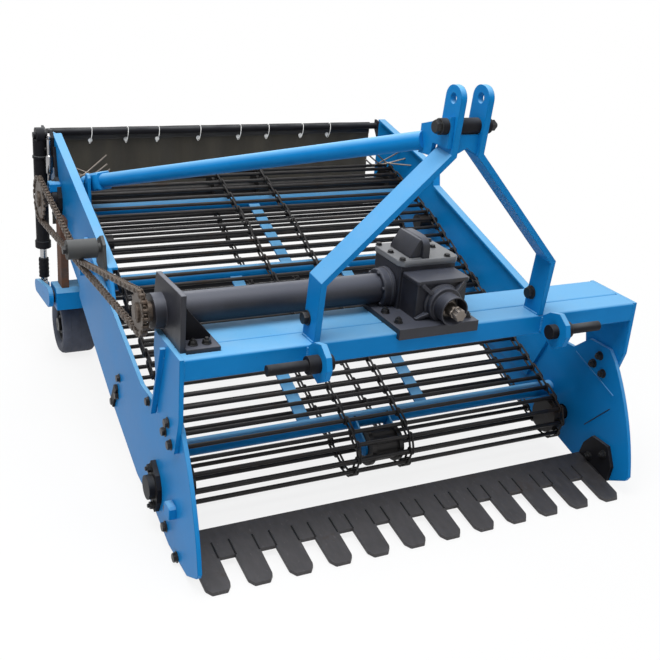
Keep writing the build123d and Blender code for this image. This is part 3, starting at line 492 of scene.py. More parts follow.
CHIP = (0.035, 0.034, 0.036)
RUST = (0.085, 0.038, 0.018)
GREY_DUST = (0.45, 0.47, 0.47)
FINISH_TABLE = (
    # painted_steel rows: the third colour is the painted top light blended onto upward faces.
    ("blue_paint", painted_steel, (0.004, 0.176, 0.470), (0.007, 0.200, 0.520), (0.152, 0.412, 0.690),
     CHIP, 0.24),
    ("black_paint", painted_steel, (0.009, 0.009, 0.011), (0.017, 0.017, 0.020), (0.035, 0.037, 0.042),
     (0.10, 0.095, 0.09), 0.34, 0.42),
    # cast_iron rows: the last colour is the painted top light blended onto upper faces.
    ("gearbox_black", cast_iron, (0.006, 0.007, 0.012), (0.018, 0.019, 0.028), (0.020, 0.015, 0.012),
     (0.084, 0.091, 0.117)),
    ("gearbox_grey", cast_iron, (0.120, 0.125, 0.132), (0.170, 0.176, 0.184), (0.09, 0.084, 0.078),
     (0.175, 0.180, 0.188)),
    ("bare_steel", bright_metal, (0.24, 0.21, 0.185), 0.42, 60.0),
    ("chain_steel", rolled_steel, (0.05, 0.038, 0.030), (0.12, 0.093, 0.074), RUST, 0.6, 0.34),
    ("roller_grey", painted_steel, (0.052, 0.054, 0.054), (0.070, 0.072, 0.072), (0.110, 0.114, 0.116),
     (0.12, 0.11, 0.1), 0.4),
    ("rod_steel", rolled_steel, (0.008, 0.0075, 0.008), (0.022, 0.020, 0.020), (0.03, 0.019, 0.013)),
    ("blade_steel", rolled_steel, (0.043, 0.041, 0.043), (0.058, 0.055, 0.058), (0.06, 0.043, 0.034), 0.3, 0.42,
     (2.5, 1.0, 1.0), 0.66),
    ("curtain_cloth", curtain_weave),
    ("rusty_steel", rolled_steel, (0.04, 0.025, 0.02), (0.075, 0.046, 0.034), (0.13, 0.055, 0.028), 0.1, 0.55,
     (1.0, 1.0, 4.0), 0.4),
    ("rod_chrome", bright_metal, (0.42, 0.42, 0.43), 0.16, 300.0),
    ("tyre_rubber", rubber),
    ("rim_paint", painted_steel, (0.02, 0.021, 0.024), (0.034, 0.035, 0.04), (0.045, 0.046, 0.05),
     (0.12, 0.08, 0.06), 0.4),
    ("bolt_black", rolled_steel, (0.008, 0.008, 0.009), (0.02, 0.02, 0.021), (0.05, 0.028, 0.018), 0.5, 0.3,
     (8.0, 8.0, 8.0), 0.68),
    ("tie_white", nylon, (0.95, 0.95, 0.93)),
    ("hem_black", nylon, (0.010, 0.010, 0.011)),
)
FINISHES = {name: make(name, *values) for name, make, *values in FINISH_TABLE}

for entry in frame["record"]["subparts"]:
    slots = frame["nodes"][entry["node"]].data.materials
    slots.clear()
    slots.append(FINISHES[entry["material_slot"]])


def add_mesh(name, shape, material):
    """A mesh object of the shape in the material, linked to the scene."""
    points, faces = shape
    mesh = bpy.data.meshes.new(name)
    mesh.from_pydata(points.tolist(), [], [polygon for group in faces.values() for polygon in group.tolist()])
    mesh.materials.append(material)
    made = bpy.data.objects.new(name, mesh)
    bpy.context.scene.collection.objects.link(made)
    return made


def piece(name, shape, finish, body="frame", stands_for=None, crease=38.0):
    """A mesh of the shape in its finish, smooth below the crease angle, riding on its body."""
    made = add_mesh(name, shape, FINISHES[finish])
    made.data.shade_smooth()
    made.data.set_sharp_from_angle(angle=math.radians(crease))
    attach(made, body)
    if stands_for:
        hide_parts(stands_for)
    return made


# Rod web


def web_rods(places):
    """Round rods across the machine: a circle carried along x between the edge links, ends rounded off."""
    steps = np.array([0, 0.0015, 0.004]) - box_of("rod_web")[1, 0]
    path = np.column_stack([np.concatenate([steps, -steps[::-1]]), np.zeros((6, 2))])
    rod = tube(path, np.array([0.6, 0.9, 1, 1, 0.9, 0.6]) * ROD_R, 12)
    return repeat(rod, UNTURNED, across_x(0.0, places))


def hook_links(places):
    """Wire hooks that tie each rod to the next: a closed oval of wire round two neighbours, set by turns to
    either side of the link line."""
    ahead = np.roll(places, -1, 0) - places
    reach = np.linalg.norm(ahead, axis=1)
    middle = places + ahead / 2
    turn = full_turn(16)
    oval_r = ROD_R + LINK_WIRE + 0.0004
    pitch = reach.mean()
    oval = np.column_stack([np.zeros(16), np.sign(np.cos(turn)) * pitch / 2 + oval_r * np.cos(turn),
                            oval_r * np.sin(turn)])
    wire = tube(oval, LINK_WIRE, 6, closed=True, up=RIGHT)
    axes = along_belt(ahead)
    axes[:, 1] *= (reach / pitch)[:, None]
    stagger = np.where(np.arange(len(middle)) % 2, LINK_STAGGER, -LINK_STAGGER)
    lines = [across_x(0.0, middle) + np.column_stack([x + stagger, np.zeros((len(middle), 2))])
             for x in LINK_LINES]
    return repeat(wire, np.tile(axes, (len(lines), 1, 1)), np.concatenate(lines))


rod_places = belt(WEB_TURNS, ROD_COUNT)[0]
piece("web_rods", web_rods(rod_places), "rod_steel", stands_for="rod_web")
piece("web_hooks", hook_links(rod_places), "rod_steel", stands_for="web_links")


# Roller chain and chain wheels


def chain_plates(pitch, end_r, waist, near, far):
    """A link's two waisted plates: half circles round both pins, drawn in between them, carried across x."""
    front = around(end_r, np.linspace(-np.pi / 2, np.pi / 2, 7)) + (pitch / 2, 0.0)
    outline = np.concatenate([front, [(0.0, waist)], -front, [(0.0, -waist)]])
    points, faces = join(prism(outline, near, far, 0.0004), prism(outline, -far, -near, 0.0004))
    return points[:, [2, 0, 1]], faces


def roller_chain(pins, pitch):
    """Links by turns narrow and wide along the belt, a roller on each pin between the narrow plates."""
    ahead = np.roll(pins, -1, 0) - pins
    axes = along_belt(ahead)
    middle = across_x(CHAIN_X, pins + ahead / 2)
    narrow = chain_plates(pitch, 0.0078, 0.0055, 0.0048, 0.0066)
    wide = chain_plates(pitch, 0.0076, 0.0052, 0.0070, 0.0086)
    roller = lathe(mirrored([(0.0052, -0.0046), (0.0062, -0.0040)]), 12)
    pin = lathe(mirrored([(0.0022, -0.0098), (0.0031, -0.0092)]), 8)
    return join(repeat(narrow, axes[::2], middle[::2]), repeat(wide, axes[1::2], middle[1::2]),
                repeat(join(roller, pin), facing([RIGHT]), across_x(CHAIN_X, pins)))


def chain_wheel(circle, node, hub_r, pins):
    """A toothed wheel: radius = root + height times a raised cosine, one tooth between each two rollers. Its
    hub runs back to the inner end of the node's box."""
    y, z, radius = circle
    hub_back = box_of(node)[1, 0] - CHAIN_X
    teeth = round(2 * np.pi * radius / CHAIN_PITCH)
    spoke = pins - (y, z)
    seated = np.abs(np.linalg.norm(spoke, axis=1) - radius).argmin()
    phase = math.atan2(spoke[seated, 1], spoke[seated, 0])
    turn = full_turn(teeth * 12)
    wave = 0.5 - 0.5 * np.cos(teeth * (turn - phase))
    rim = radius - 0.0062 + 0.0098 * wave ** 1.3
    toothed = prism(around(rim, turn), -0.0042, 0.0042, 0.0012)
    hub = lathe([(0.010, HUB_FRONT), (hub_r - 0.003, HUB_FRONT), (hub_r, HUB_FRONT + 0.003), (hub_r, hub_back)],
                28)
    collar = lathe([(0.010, HUB_FRONT - 0.001), (0.016, HUB_FRONT - 0.001), (0.018, HUB_FRONT + 0.004)], 20)
    return placed(join(toothed, hub, collar), (CHAIN_X, y, z), RIGHT)


CHAIN_TURNS = (DRIVE, TENSION, DRIVEN)
HUB_FRONT = -0.013
chain_length = belt(CHAIN_TURNS, 2)[1]
chain_count = 2 * round(chain_length / CHAIN_PITCH / 2)
chain_pins = belt(CHAIN_TURNS, chain_count)[0]
piece("roller_chain", roller_chain(chain_pins, chain_length / chain_count), "chain_steel",
      stands_for="drive_chain")
for word, turns, hub_r in (("front", DRIVE, 0.026), ("rear", DRIVEN, 0.028)):
    node = word + "_sprocket"
    piece(word + "_chain_wheel", chain_wheel(turns, node, hub_r, chain_pins), "chain_steel",
          stands_for=node)


# Bolts: a flat washer, a hexagon with a turned crown, and a stud end on a nut


def crowned_hexagon(low, high, width):
    """Six sides that end in a round crown: the corners are cut by a circle drawn in at the top."""
    turn = full_turn(18)
    flat = np.cos(np.pi / 6) / np.cos((turn % (np.pi / 3)) - np.pi / 6)
    sides = around(width / 2 * flat, turn)
    return stacked(((sides, low), (sides, high - 0.08 * width), (around(0.43 * width, turn), high)))


WASHER = lathe([(1.05, 0.0), (1.15, 0.03), (1.15, 0.15), (1.08, 0.19)], 18)
BOLT_HEAD = join(WASHER, crowned_hexagon(0.19, 0.85, 1.95))
NUT = join(WASHER, crowned_hexagon(0.19, 0.95, 1.95), lathe([(0.5, 0.9), (0.5, 1.35), (0.42, 1.45)], 12))


def bolt_circle(shape, count, radius, height, thread, start=0.0):
    """Copies of a bolt end on a circle about z."""
    turn = full_turn(count) + start
    spots = np.column_stack([around(radius, turn), np.full(count, height)])
    return repeat((shape[0] * thread, shape[1]), UNTURNED, spots)


def bolts(shape, table):
    """Copies of a bolt end: rows of (x, y, z, direction, thread) with seeded turns of the hexagon."""
    x, y, z, ways, threads = zip(*table)
    axes = facing(ways, CHANCE.uniform(0, np.pi, len(table))) * np.array(threads)[:, None, None]
    return repeat(shape, axes, at(np.column_stack([x, y, z])))


POST_BOLTS = ((0.081, 0.394), (0.103, 0.358), (0.055, 0.344))
PLATE_BOLTS = ((0.285, 0.352), (0.582, 0.283), (0.603, 0.215), (0.650, 0.172))
SHARE_BOLTS = ((0.120, 0.053), (0.024, 0.019), (0.098, 0.124))
TAB_FACE = 0.684
TAB_NUTS = ((-0.030, 0.100), (0.030, 0.062))
BEARING_BOLTS = ((0.200, 0.135, 0.722), (1.400, 0.608, 0.710))
BEARING_ARM = 0.053
BEARING_TILT = math.radians(-14.0)


def side_bolt_rows():
    """Heads outside and nuts inside each plate, two nuts on every flange bearing."""
    heads = []
    nuts = []
    for side, way, back in ((-1.0, LEFT, RIGHT), (1.0, RIGHT, LEFT)):
        heads += [(side * POST_FACE, y, z, way, 0.013) for y, z in POST_BOLTS]
        nuts += [(side * PLATE_BACK, y, z, back, 0.013) for y, z in POST_BOLTS]
        heads += [(side * PLATE_FACE, y, z, way, 0.012) for y, z in PLATE_BOLTS]
        heads += [(side * PLATE_FACE, y, z, way, 0.014) for y, z in SHARE_BOLTS]
        nuts += [(side * TAB_FACE, y, z, back, 0.012) for y, z in TAB_NUTS]
        for y, z, face in BEARING_BOLTS:
            for end in SIDES:
                nuts.append((side * face, y - end * BEARING_ARM * math.sin(BEARING_TILT),
                             z + end * BEARING_ARM * math.cos(BEARING_TILT), way, 0.012))
    return heads, nuts


COVER_THICK = 0.018
COVER_TOP = box_of("gearbox_housing")[1, 2] + COVER_THICK
COVER_BOLTS = ((-0.050, 0.124), (-0.050, 0.190), (-0.050, 0.257), (0.096, 0.204), (0.094, 0.124),
               (0.115, 0.257))
FOOT_BOLT = (0.048, 0.656)
SPACER_BOLT = (-0.020, 1.156)
LIFT_BRACKET_BOLTS = ((1.500, 0.720), (1.500, 0.760))
FOOT_BOLTS = ((-0.098, 0.034), (-0.098, 0.106), (0.112, 0.018))
BRACKET_FOOT_BOLTS = ((-0.632, 0.056), (-0.632, 0.122), (-0.668, 0.056), (-0.668, 0.122))
heads, nuts = side_bolt_rows()
heads += [(x, y, COVER_TOP, UP, 0.0085) for x, y in COVER_BOLTS]
nuts += [(x, y, BEAM_TOP + 0.015, UP, 0.011) for x, y in FOOT_BOLTS]
nuts += [(x, y, BEAM_TOP + 0.012, UP, 0.011) for x, y in BRACKET_FOOT_BOLTS]
heads += [(x, *FOOT_BOLT, LEFT, 0.018) for x in (MAST_FOOT[0], -MAST_FOOT[1])]
heads.append((-0.078, *SPACER_BOLT, LEFT, 0.018))
nuts.append((0.066, *SPACER_BOLT, RIGHT, 0.016))
heads.append((-0.808, *TENSION[:2], LEFT, 0.014))
nuts += [(-PLATE_FACE, y, z, LEFT, 0.012) for y, z in LIFT_BRACKET_BOLTS]
piece("frame_bolts", join(bolts(BOLT_HEAD, heads), bolts(NUT, nuts)), "bolt_black",
      crease=30.0)


# Wheels


def tyre_ring(x):
    """Tyre section turned about the axle: bead, bulged wall, round shoulder and a tread with three grooves."""
    wall = [(0.0625, -0.046), (0.070, -0.056), (0.086, -0.0615), (0.100, -0.060), (0.1072, -0.053),
            (0.1098, -0.044)]
    groove = [(0.1100, -0.033), (0.1088, -0.032), (0.1088, -0.030), (0.1100, -0.029), (0.1100, -0.002),
              (0.1090, -0.001)]
    return placed(lathe(mirrored(wall + groove), 72, ring=True), (x, WHEEL_Y, WHEEL_R), RIGHT)


def rim_disc(x, side):
    """Dished rim turned about the axle: a lip, a drop to the disc and a raised hub with a bored middle."""
    profile = [(0.0156, -0.050), (0.034, -0.050), (0.036, -0.034), (0.052, -0.030), (0.057, -0.049),
               (0.0615, -0.050), (0.0618, 0.050), (0.057, 0.049), (0.052, 0.030), (0.036, 0.034),
               (0.034, 0.050), (0.0156, 0.050)]
    disc = join(lathe(profile, 48, ring=True), bolt_circle(NUT, 5, 0.044, 0.031, 0.007))
    return placed(disc, (x, WHEEL_Y, WHEEL_R), (side, 0.0, 0.0))


for side, word in ((-1.0, "left"), (1.0, "right")):
    piece("tyre_ring_" + word, tyre_ring(side * WHEEL_X), "tyre_rubber", "wheel_" + word,
          stands_for="tyre_" + word)
    piece("rim_disc_" + word, rim_disc(side * WHEEL_X, side), "rim_paint", "wheel_" + word,
          stands_for="rim_" + word)


# Gearbox dressing and input shaft


def splined_shaft():
    """Input shaft along the drive line: six splines, radius stepping between root and tip, and a collar."""
    box = box_of("input_shaft")
    x, z = box.mean(0)[[0, 2]]
    front = box[0, 1]
    turn = full_turn(72)
    tip = np.clip(0.5 + 4.0 * np.cos(6 * turn), 0, 1)
    steps = np.array([0.0, 0.003, 0.018, 0.020, 0.026, 0.028, 0.060, 0.064])
    shrink = np.array([0.90, 1.0, 1.0, 0.84, 0.84, 1.0, 1.0, 1.0])
    radius = shrink[:, None] * (0.0146 + 0.0028 * tip)
    spline = stacked([(around(ring, turn), step) for ring, step in zip(radius, steps)])
    collar = lathe([(0.020, 0.060), (0.0255, 0.062), (0.027, 0.065), (0.027, 0.0705), (0.0245, 0.071),
                    (0.0245, 0.0735), (0.027, 0.074), (0.027, 0.0775)], 36)
    points, faces = join(spline, collar)
    points = at(np.column_stack([x + points[:, 0], front + points[:, 2], z + points[:, 1]]))
    return outward((points, faces))


INPUT_X = 0.034


def gearbox_rings():
    """Turned bearing caps: a stepped ring round the cross shaft's boss, one in front of the input bearing, and
    an open guard cup round the input shaft."""
    side = lathe([(0.0425, 0.0), (0.0570, 0.0), (0.0590, 0.002), (0.0590, 0.012), (0.0555, 0.0135),
                  (0.0555, 0.034), (0.0530, 0.0365), (0.0425, 0.0365)], 44, ring=True)
    front = lathe([(0.0285, 0.0), (0.0560, 0.0), (0.0560, 0.007), (0.0515, 0.010), (0.0515, 0.0245),
                   (0.0490, 0.0275), (0.0285, 0.0275)], 40, ring=True)
    guard = lathe([(0.0365, 0.0), (0.0395, 0.0), (0.0395, 0.040), (0.0410, 0.043), (0.0410, 0.048),
                   (0.0375, 0.048), (0.0375, 0.043), (0.0365, 0.040)], 40, ring=True)
    caps = bolt_circle(BOLT_HEAD, 6, 0.0485, 0.0365, 0.0055, 0.3)
    return join(placed(join(side, caps), (-0.054, *DRIVE[:2]), LEFT),
                placed(front, (INPUT_X, 0.040, DRIVE[1]), FORWARD),
                placed(guard, (INPUT_X, 0.016, DRIVE[1]), FORWARD))


def gearbox_ribs():
    """Cast webs: thin wedges on the housing's front from the input bearing to its corners, under a ledge."""
    wedge = np.array([(0.0, 0.0), (0.042, 0.0), (0.040, 0.010), (0.0, 0.021)])
    web = prism(wedge, -0.005, 0.005, 0.001)
    turn = np.radians((40.0, 140.0, 208.0, 332.0))
    outwards = np.column_stack([np.cos(turn), np.zeros(4), np.sin(turn)])
    ahead = np.broadcast_to(FORWARD, outwards.shape)
    axes = np.stack([outwards, ahead, np.cross(outwards, ahead)], 1)
    spots = at((INPUT_X, 0.041, DRIVE[1]) + 0.048 * outwards)
    ledge, faces = prism(cut_corners((-0.049, 0.033), (0.117, 0.122), 0.006), 0.716, 0.7285, 0.002)
    return join(repeat(web, axes, spots), (at(ledge), faces))


def cover_plate():
    """Bolted cover: its outline with cut corners carried up to the cover's top."""
    low, high = box_of("gearbox_cover")
    plate, faces = prism(cut_corners(low[:2], high[:2], 0.014), COVER_TOP - COVER_THICK, COVER_TOP, 0.002)
    return at(plate), faces


def cover_hump():
    """Ridge on the cover: an arch whose height is a root of the sine, carried across x, and a wedge leaning on
    it from the left, its slope in x, z carried along y."""
    foot = COVER_TOP - 0.001
    turn = np.linspace(0, np.pi, 15)
    arch = np.column_stack([0.187 + 0.065 * np.sign(np.cos(turn)) * np.abs(np.cos(turn)) ** 0.5,
                            0.772 + 0.0430 * np.sin(turn) ** 0.6])
    arch = np.concatenate([[(0.252, foot)], arch, [(0.122, foot)]])
    slope = [(-0.022, foot), (0.011, foot), (0.011, 0.811), (0.005, 0.811), (-0.022, 0.766)]
    return join(plate_x(arch, 0.009, 0.038, 0.004), plate_y(slope, 0.132, 0.242, 0.002))


piece("splined_shaft", splined_shaft(), "bare_steel", stands_for="input_shaft")
piece("gearbox_rings", gearbox_rings(), "gearbox_black")
piece("gearbox_ribs", gearbox_ribs(), "gearbox_black")
piece("cover_plate", cover_plate(), "gearbox_grey", stands_for="gearbox_cover")
piece("cover_hump", cover_hump(), "gearbox_black")


# Weld beads: round the mast feet and hitch lugs, along the post ribs and at the ends of the cross tubes


def bead(start, end, size, ripple=0.0045):
    """A weld along a line: a tube whose radius swells and thins as a sine of the distance run."""
    start = at(start)
    end = at(end)
    length = np.linalg.norm(end - start)
    steps = np.linspace(0, 1, max(8, int(length / ripple * 4)))[:, None]
    swell = 1 + 0.16 * np.sin(2 * np.pi * steps[:, 0] * length / ripple)
    swell[[0, -1]] = 0.35
    up = UP if abs(end[2] - start[2]) < 0.7 * length else RIGHT
    return tube(start + steps * (end - start), size * swell, 8, up=up)


def mirrored_beads(rows):
    """Beads on both sides of the machine from rows of x, (y, z) start, (y, z) end and size."""
    return [bead((side * x, *start), (side * x, *end), size) for side in SIDES for x, start, end, size in rows]


FRAME_BEADS = (*((x, (0.004, BEAM_TOP), (0.068, BEAM_TOP), 0.004) for x in MAST_FOOT),
               *((x, (0.0, BEAM_TOP - 0.052), (0.0, BEAM_TOP - 0.006), 0.004) for x in HITCH_LUG),
               (POST_FACE, (0.118, 0.560), (0.149, 0.470), 0.003),
               (POST_FACE, (0.149, 0.470), (0.183, 0.374), 0.003),
               (PLATE_FACE, (0.002, 0.545), (0.002, 0.600), 0.003),
               (0.6955, (0.191, 0.362), (-0.009, 0.294), 0.0025))
piece("frame_welds", join(*mirrored_beads(FRAME_BEADS)), "blue_paint")


# Digging blade


BLADE_TIP = -0.141
BLADE_SLOPE = math.radians(10.3)
BLADE_THICK = 0.010
BLADE_RUN = 0.225
FINGERS = 12
FINGER_RUN = 0.110
FINGER_HALF = 0.036
TIP_RUN = 0.022
BLADE_HALF = np.ptp(box_of("share_blade")[:, 0]) / 2
FINGER_MIDDLES = np.linspace(-1, 1, FINGERS) * (BLADE_HALF - 0.00175 - FINGER_HALF)


def on_blade(x, run, height):
    """Places on the sloping blade from x, the way run up its slope and the height over its underside."""
    return at(np.stack([x, BLADE_TIP + run * math.cos(BLADE_SLOPE) - height * math.sin(BLADE_SLOPE),
                        run * math.sin(BLADE_SLOPE) + height * math.cos(BLADE_SLOPE)], -1))


def share_fingers():
    """Digging blade: its front line goes up each finger's side, round its tip's cut corners and back along the
    gap. At each place on that line a closed section of sharpened edge, top, back and underside runs up the
    slope."""
    tip_x = np.array([-0.0346, -0.0335, -0.0225, -0.0195, 0.0195, 0.0225, 0.0335, 0.0346])
    tip_run = TIP_RUN * np.array([1.0, 0.75, 0.07, 0.0, 0.0, 0.07, 0.75, 1.0])
    finger_x = np.concatenate([[-FINGER_HALF], tip_x, [FINGER_HALF]])
    finger_run = np.concatenate([[FINGER_RUN], tip_run, [FINGER_RUN]])
    x = np.concatenate([[-BLADE_HALF], (FINGER_MIDDLES[:, None] + finger_x).ravel(), [BLADE_HALF]])[:, None]
    front = np.concatenate([[FINGER_RUN], np.tile(finger_run, FINGERS), [FINGER_RUN]])[:, None]
    share = np.array([1, 1, 1, 0, 0, 0, 1])
    offset = np.array([0.0005, 0.0005, 0.0045, BLADE_RUN - 0.0015, BLADE_RUN, BLADE_RUN, 0.002])
    height = np.array([0.0010, 0.0030, BLADE_THICK, BLADE_THICK, BLADE_THICK - 0.0015, 0.0, 0.0])
    run = share * front + offset
    points = on_blade(np.broadcast_to(x, run.shape), run, np.broadcast_to(height, run.shape))
    return outward(grid(points, wrap_v=True, ends=True))


def share_beads():
    """Pairs of short beads where each finger is laid on the blade, rising with its slope, and one on each
    side plate's inner face."""
    run = np.array([0.112, 0.172])
    height = np.full(2, BLADE_THICK)
    beads = []
    for middle in FINGER_MIDDLES:
        for side in SIDES:
            start, end = on_blade(np.full(2, middle + side * 0.034), run, height) - ZERO
            beads.append(bead(start, end, 0.0028, 0.006))
    return join(*beads, *mirrored_beads([(0.6957, (0.090, 0.143), (-0.005, 0.247), 0.0016)]))


piece("share_fingers", share_fingers(), "blade_steel", stands_for="share_blade", crease=30.0)
piece("share_beads", share_beads(), "bolt_black")


# Rear curtain


CURTAIN_LOW, CURTAIN_HIGH = box_of("curtain_sheet")
CLOTH_UV = (1.344, 0.37)
HEM_RISE = 0.001
HEM_HEIGHT = 0.046
TIE_SPOTS = (-0.526, -0.388, -0.266, -0.098, 0.071, 0.193, 0.346, 0.471)


def curtain_line(x, drop):
    """Depth of the hung cloth: folds as sines across, opening out with the drop."""
    fold = np.sin(26.0 * x + 1.3 * np.sin(4.0 * x)) + 0.45 * np.sin(61.0 * x + 0.7)
    depth = 0.0012 + 0.0095 * np.maximum(drop, 0.0) ** 0.8
    return (CURTAIN_LOW[1] + CURTAIN_HIGH[1]) / 2 + depth * fold


def hung_cloth(top, bottom, across, down, lift):
    """A grid of the hung cloth between two heights: x and z are even, y is the folds, set forward by lift."""
    half = (CURTAIN_HIGH[0] - CURTAIN_LOW[0]) / 2
    x = np.linspace(-half, half, across)[None, :]
    z = np.linspace(top, bottom, down)[:, None]
    drop = (CURTAIN_HIGH[2] - z) / (CURTAIN_HIGH[2] - CURTAIN_LOW[2])
    y = curtain_line(x, drop) - lift
    return at(np.stack([np.broadcast_to(x, y.shape), y, np.broadcast_to(z, y.shape)], -1))


def cloth_piece(name, points, finish, thick):
    """A sheet from a grid of points, with a UV map along its rows and columns and its own thickness."""
    made = piece(name, grid(points), finish, crease=80.0)
    rows, columns = points.shape[:2]
    layer = made.data.uv_layers.new(name="cloth")
    corner = np.zeros(len(made.data.loops), int)
    made.data.loops.foreach_get("vertex_index", corner)
    uv = np.stack([corner % columns / columns * CLOTH_UV[0], corner // columns / rows * CLOTH_UV[1]], -1)
    layer.data.foreach_set("uv", uv.ravel())
    solid = made.modifiers.new("thickness", "SOLIDIFY")
    solid.thickness = thick
    solid.offset = 0.0
    return made


cloth_points = hung_cloth(CURTAIN_HIGH[2], CURTAIN_LOW[2], 240, 48, 0.0)
cloth = cloth_piece("curtain_cloth", cloth_points, "curtain_cloth", 0.0016)
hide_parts("curtain_sheet")
hem_top = CURTAIN_HIGH[2] + HEM_RISE
hem_points = hung_cloth(hem_top, hem_top - HEM_HEIGHT, 240, 8, 0.0026)
hem = cloth_piece("curtain_hem", hem_points, "hem_black", 0.0022)


def curtain_ties():
    """Ties round the bar and through the cloth: an upright oval of wire, with a round eyelet below it."""
    bar_y = CURTAIN_LOW[1] - 0.013
    bar_z = CURTAIN_HIGH[2] - 0.013
    turn = full_turn(28)
    oval = np.column_stack([0.004 * np.sin(turn), 0.0175 * np.cos(turn), -0.014 + 0.030 * np.sin(turn)])
    tie = tube(oval, 0.0012, 6, closed=True, up=RIGHT)
    eyelet = lathe([(0.0025, 0.0), (0.0075, 0.0005), (0.0085, 0.002), (0.0070, 0.0042), (0.0025, 0.0045)], 16)
    shapes = []
    for x in TIE_SPOTS:
        shapes.append(repeat(tie, UNTURNED, at([(x, bar_y, bar_z)])))
        eye_y = float(curtain_line(np.array(x), 0.16)) - 0.003
        shapes.append(placed(eyelet, (x, eye_y, CURTAIN_HIGH[2] - 0.047), FORWARD))
    return join(*shapes)


ties = piece("curtain_ties", curtain_ties(), "tie_white")


# Lift cylinder dressing


def cylinder_collars():
    """Turned collars on the barrel: a stepped gland nut, a weld ring and two port bosses."""
    box = box_of("cylinder_barrel")
    x, y = box.mean(0)[:2]
    foot = box[0, 2]
    gland = lathe([(0.0135, 0.0), (0.0265, 0.0), (0.0285, 0.002), (0.0285, 0.026), (0.0250, 0.029),
                   (0.0245, 0.034)], 36)
    band = lathe([(0.0242, 0.0), (0.0270, 0.002), (0.0270, 0.010), (0.0242, 0.012)], 36)
    port = lathe([(0.0095, 0.0), (0.0095, 0.010), (0.0075, 0.012), (0.0075, 0.016), (0.0100, 0.016),
                  (0.0100, 0.024), (0.0060, 0.027)], 18)
    ports = [placed(port, (x, y + 0.022, foot + height), REARWARD) for height in (0.060, 0.345)]
    return join(placed(gland, (x, y, foot - 0.004), UP), placed(band, (x, y, foot + 0.330), UP), *ports)


BOOT_LENGTH = 0.078
BOOT_FOOT = 0.271


def rod_boot():
    """Rubber sleeve on the lift rod: a turned tube whose radius ripples as a sine along it, five times."""
    x, y = box_of("cylinder_rod").mean(0)[:2]
    height = np.linspace(0, BOOT_LENGTH, 29)
    radius = 0.0182 + 0.0006 * np.sin(height / BOOT_LENGTH * 2 * np.pi * 5)
    radius[[0, -1]] = 0.0130
    return placed(lathe(np.column_stack([radius, height]), 28), (x, y, BOOT_FOOT), UP)


def axle_caps():
    """Turned caps over the axle nuts, one for each wheel."""
    cap = lathe([(0.0246, 0.0), (0.0255, 0.0008), (0.0255, 0.0075), (0.0235, 0.0096), (0.0120, 0.0100),
                 (0.0100, 0.0088)], 32)
    return join(*(placed(cap, (side * AXLE_CAP_X, WHEEL_Y, WHEEL_R), (side, 0.0, 0.0)) for side in SIDES))


piece("cylinder_collars", cylinder_collars(), "black_paint", "lift_barrel")
piece("rod_boot", rod_boot(), "black_paint", "lift_rod")
piece("axle_caps", axle_caps(), "bolt_black", "wheel_lift")


# Details of the mast, strut and plates


def stay_screw():
    """Adjusting stay beside the cylinder: an eyed rod with a thicker sleeve, its radius in turned steps."""
    rod = [(0.003, 0.000), (0.0065, 0.002), (0.0065, 0.044), (0.0100, 0.047), (0.0118, 0.052),
           (0.0118, 0.106), (0.0100, 0.111), (0.0065, 0.114), (0.0065, 0.168), (0.003, 0.170)]
    eye = lathe(mirrored([(0.005, -0.004), (0.0105, -0.004), (0.0115, -0.002)]), 20, ring=True)
    x, y = STAY_PLACE
    return join(placed(lathe(rod, 20), (x, y, STAY_FOOT), UP),
                *(placed(eye, (x, y, z), RIGHT) for z in STAY_EYES))


def strut_clamp():
    """Square sleeve on the strut's rear end, along its line, with an upright flat beside it."""
    sleeve = prism(cut_corners((-0.030, -0.030), (0.030, 0.030), 0.006), 0.0, 0.044, 0.003)
    flat = [(1.166, 0.602), (1.206, 0.602), (1.206, 0.736), (1.197, 0.748), (1.175, 0.748), (1.166, 0.738)]
    return join(placed(sleeve, STRUT_REAR - CLAMP_BACK * STRUT_WAY, STRUT_WAY),
                plate_x(flat, -0.653, -0.6415, 0.002))


def mast_gusset():
    """Web between the mast's lugs below the spacer, notched from below, carried along y."""
    outline = [(-0.034, 1.137), (0.034, 1.137), (0.034, 1.086), (0.020, 1.092), (0.002, 1.103),
               (-0.018, 1.092), (-0.034, 1.086)]
    return plate_y(outline, -0.034, -0.020, 0.002)


def on_both_plates(outline, near, far, edge):
    """An outline in y, z carried across x on the left plate and on the right one."""
    return [plate_x(outline, *sorted((side * near, side * far)), edge) for side in SIDES]


def plate_blocks():
    """Adjuster blocks: rectangles with cut corners carried across x, out from the plates."""
    blocks = [plate_x(cut_corners((1.378, 0.632), (1.418, 0.668), 0.005), -0.736, -PLATE_BACK, 0.002),
              plate_x(cut_corners((0.888, 0.500), (0.930, 0.536), 0.006), -0.748, -PLATE_BACK, 0.002)]
    front = cut_corners((0.035, 0.126), (0.080, 0.166), 0.006)
    return join(*blocks, *on_both_plates(front, 0.707, 0.728, 0.002))


def plate_straps():
    """Black straps on the plates' outer faces and the bearing bracket's web, each an outline carried
    straight, with the strut's nut and a turned sleeve on the mast's bolt."""
    lean = [(1.445, 0.780), (1.464, 0.775), (1.431, 0.657), (1.412, 0.662)]
    shoe = [(0.592, 0.240), (0.606, 0.250), (0.618, 0.246), (0.658, 0.178), (0.656, 0.166), (0.634, 0.160)]
    web = [(-0.6935, 0.6145), (-0.612, 0.6145), (-0.612, 0.623), (-0.668, 0.690), (-0.6935, 0.728)]
    nut = crowned_hexagon(0.0, 0.026, 0.064)
    sleeve = lathe([(0.0192, 0.0), (0.0205, 0.001), (0.0205, 0.0185), (0.0190, 0.0200)], 32)
    shapes = [plate_x(lean, -0.7045, -0.6955, 0.0015), plate_y(web, 0.085, 0.095, 0.0015),
              placed(nut, STRUT_REAR - STRUT_NUT_BACK * STRUT_WAY, STRUT_WAY),
              placed(sleeve, (-0.0595, *SPACER_BOLT), LEFT)]
    return join(*shapes, *on_both_plates(shoe, 0.7075, 0.716, 0.0015))


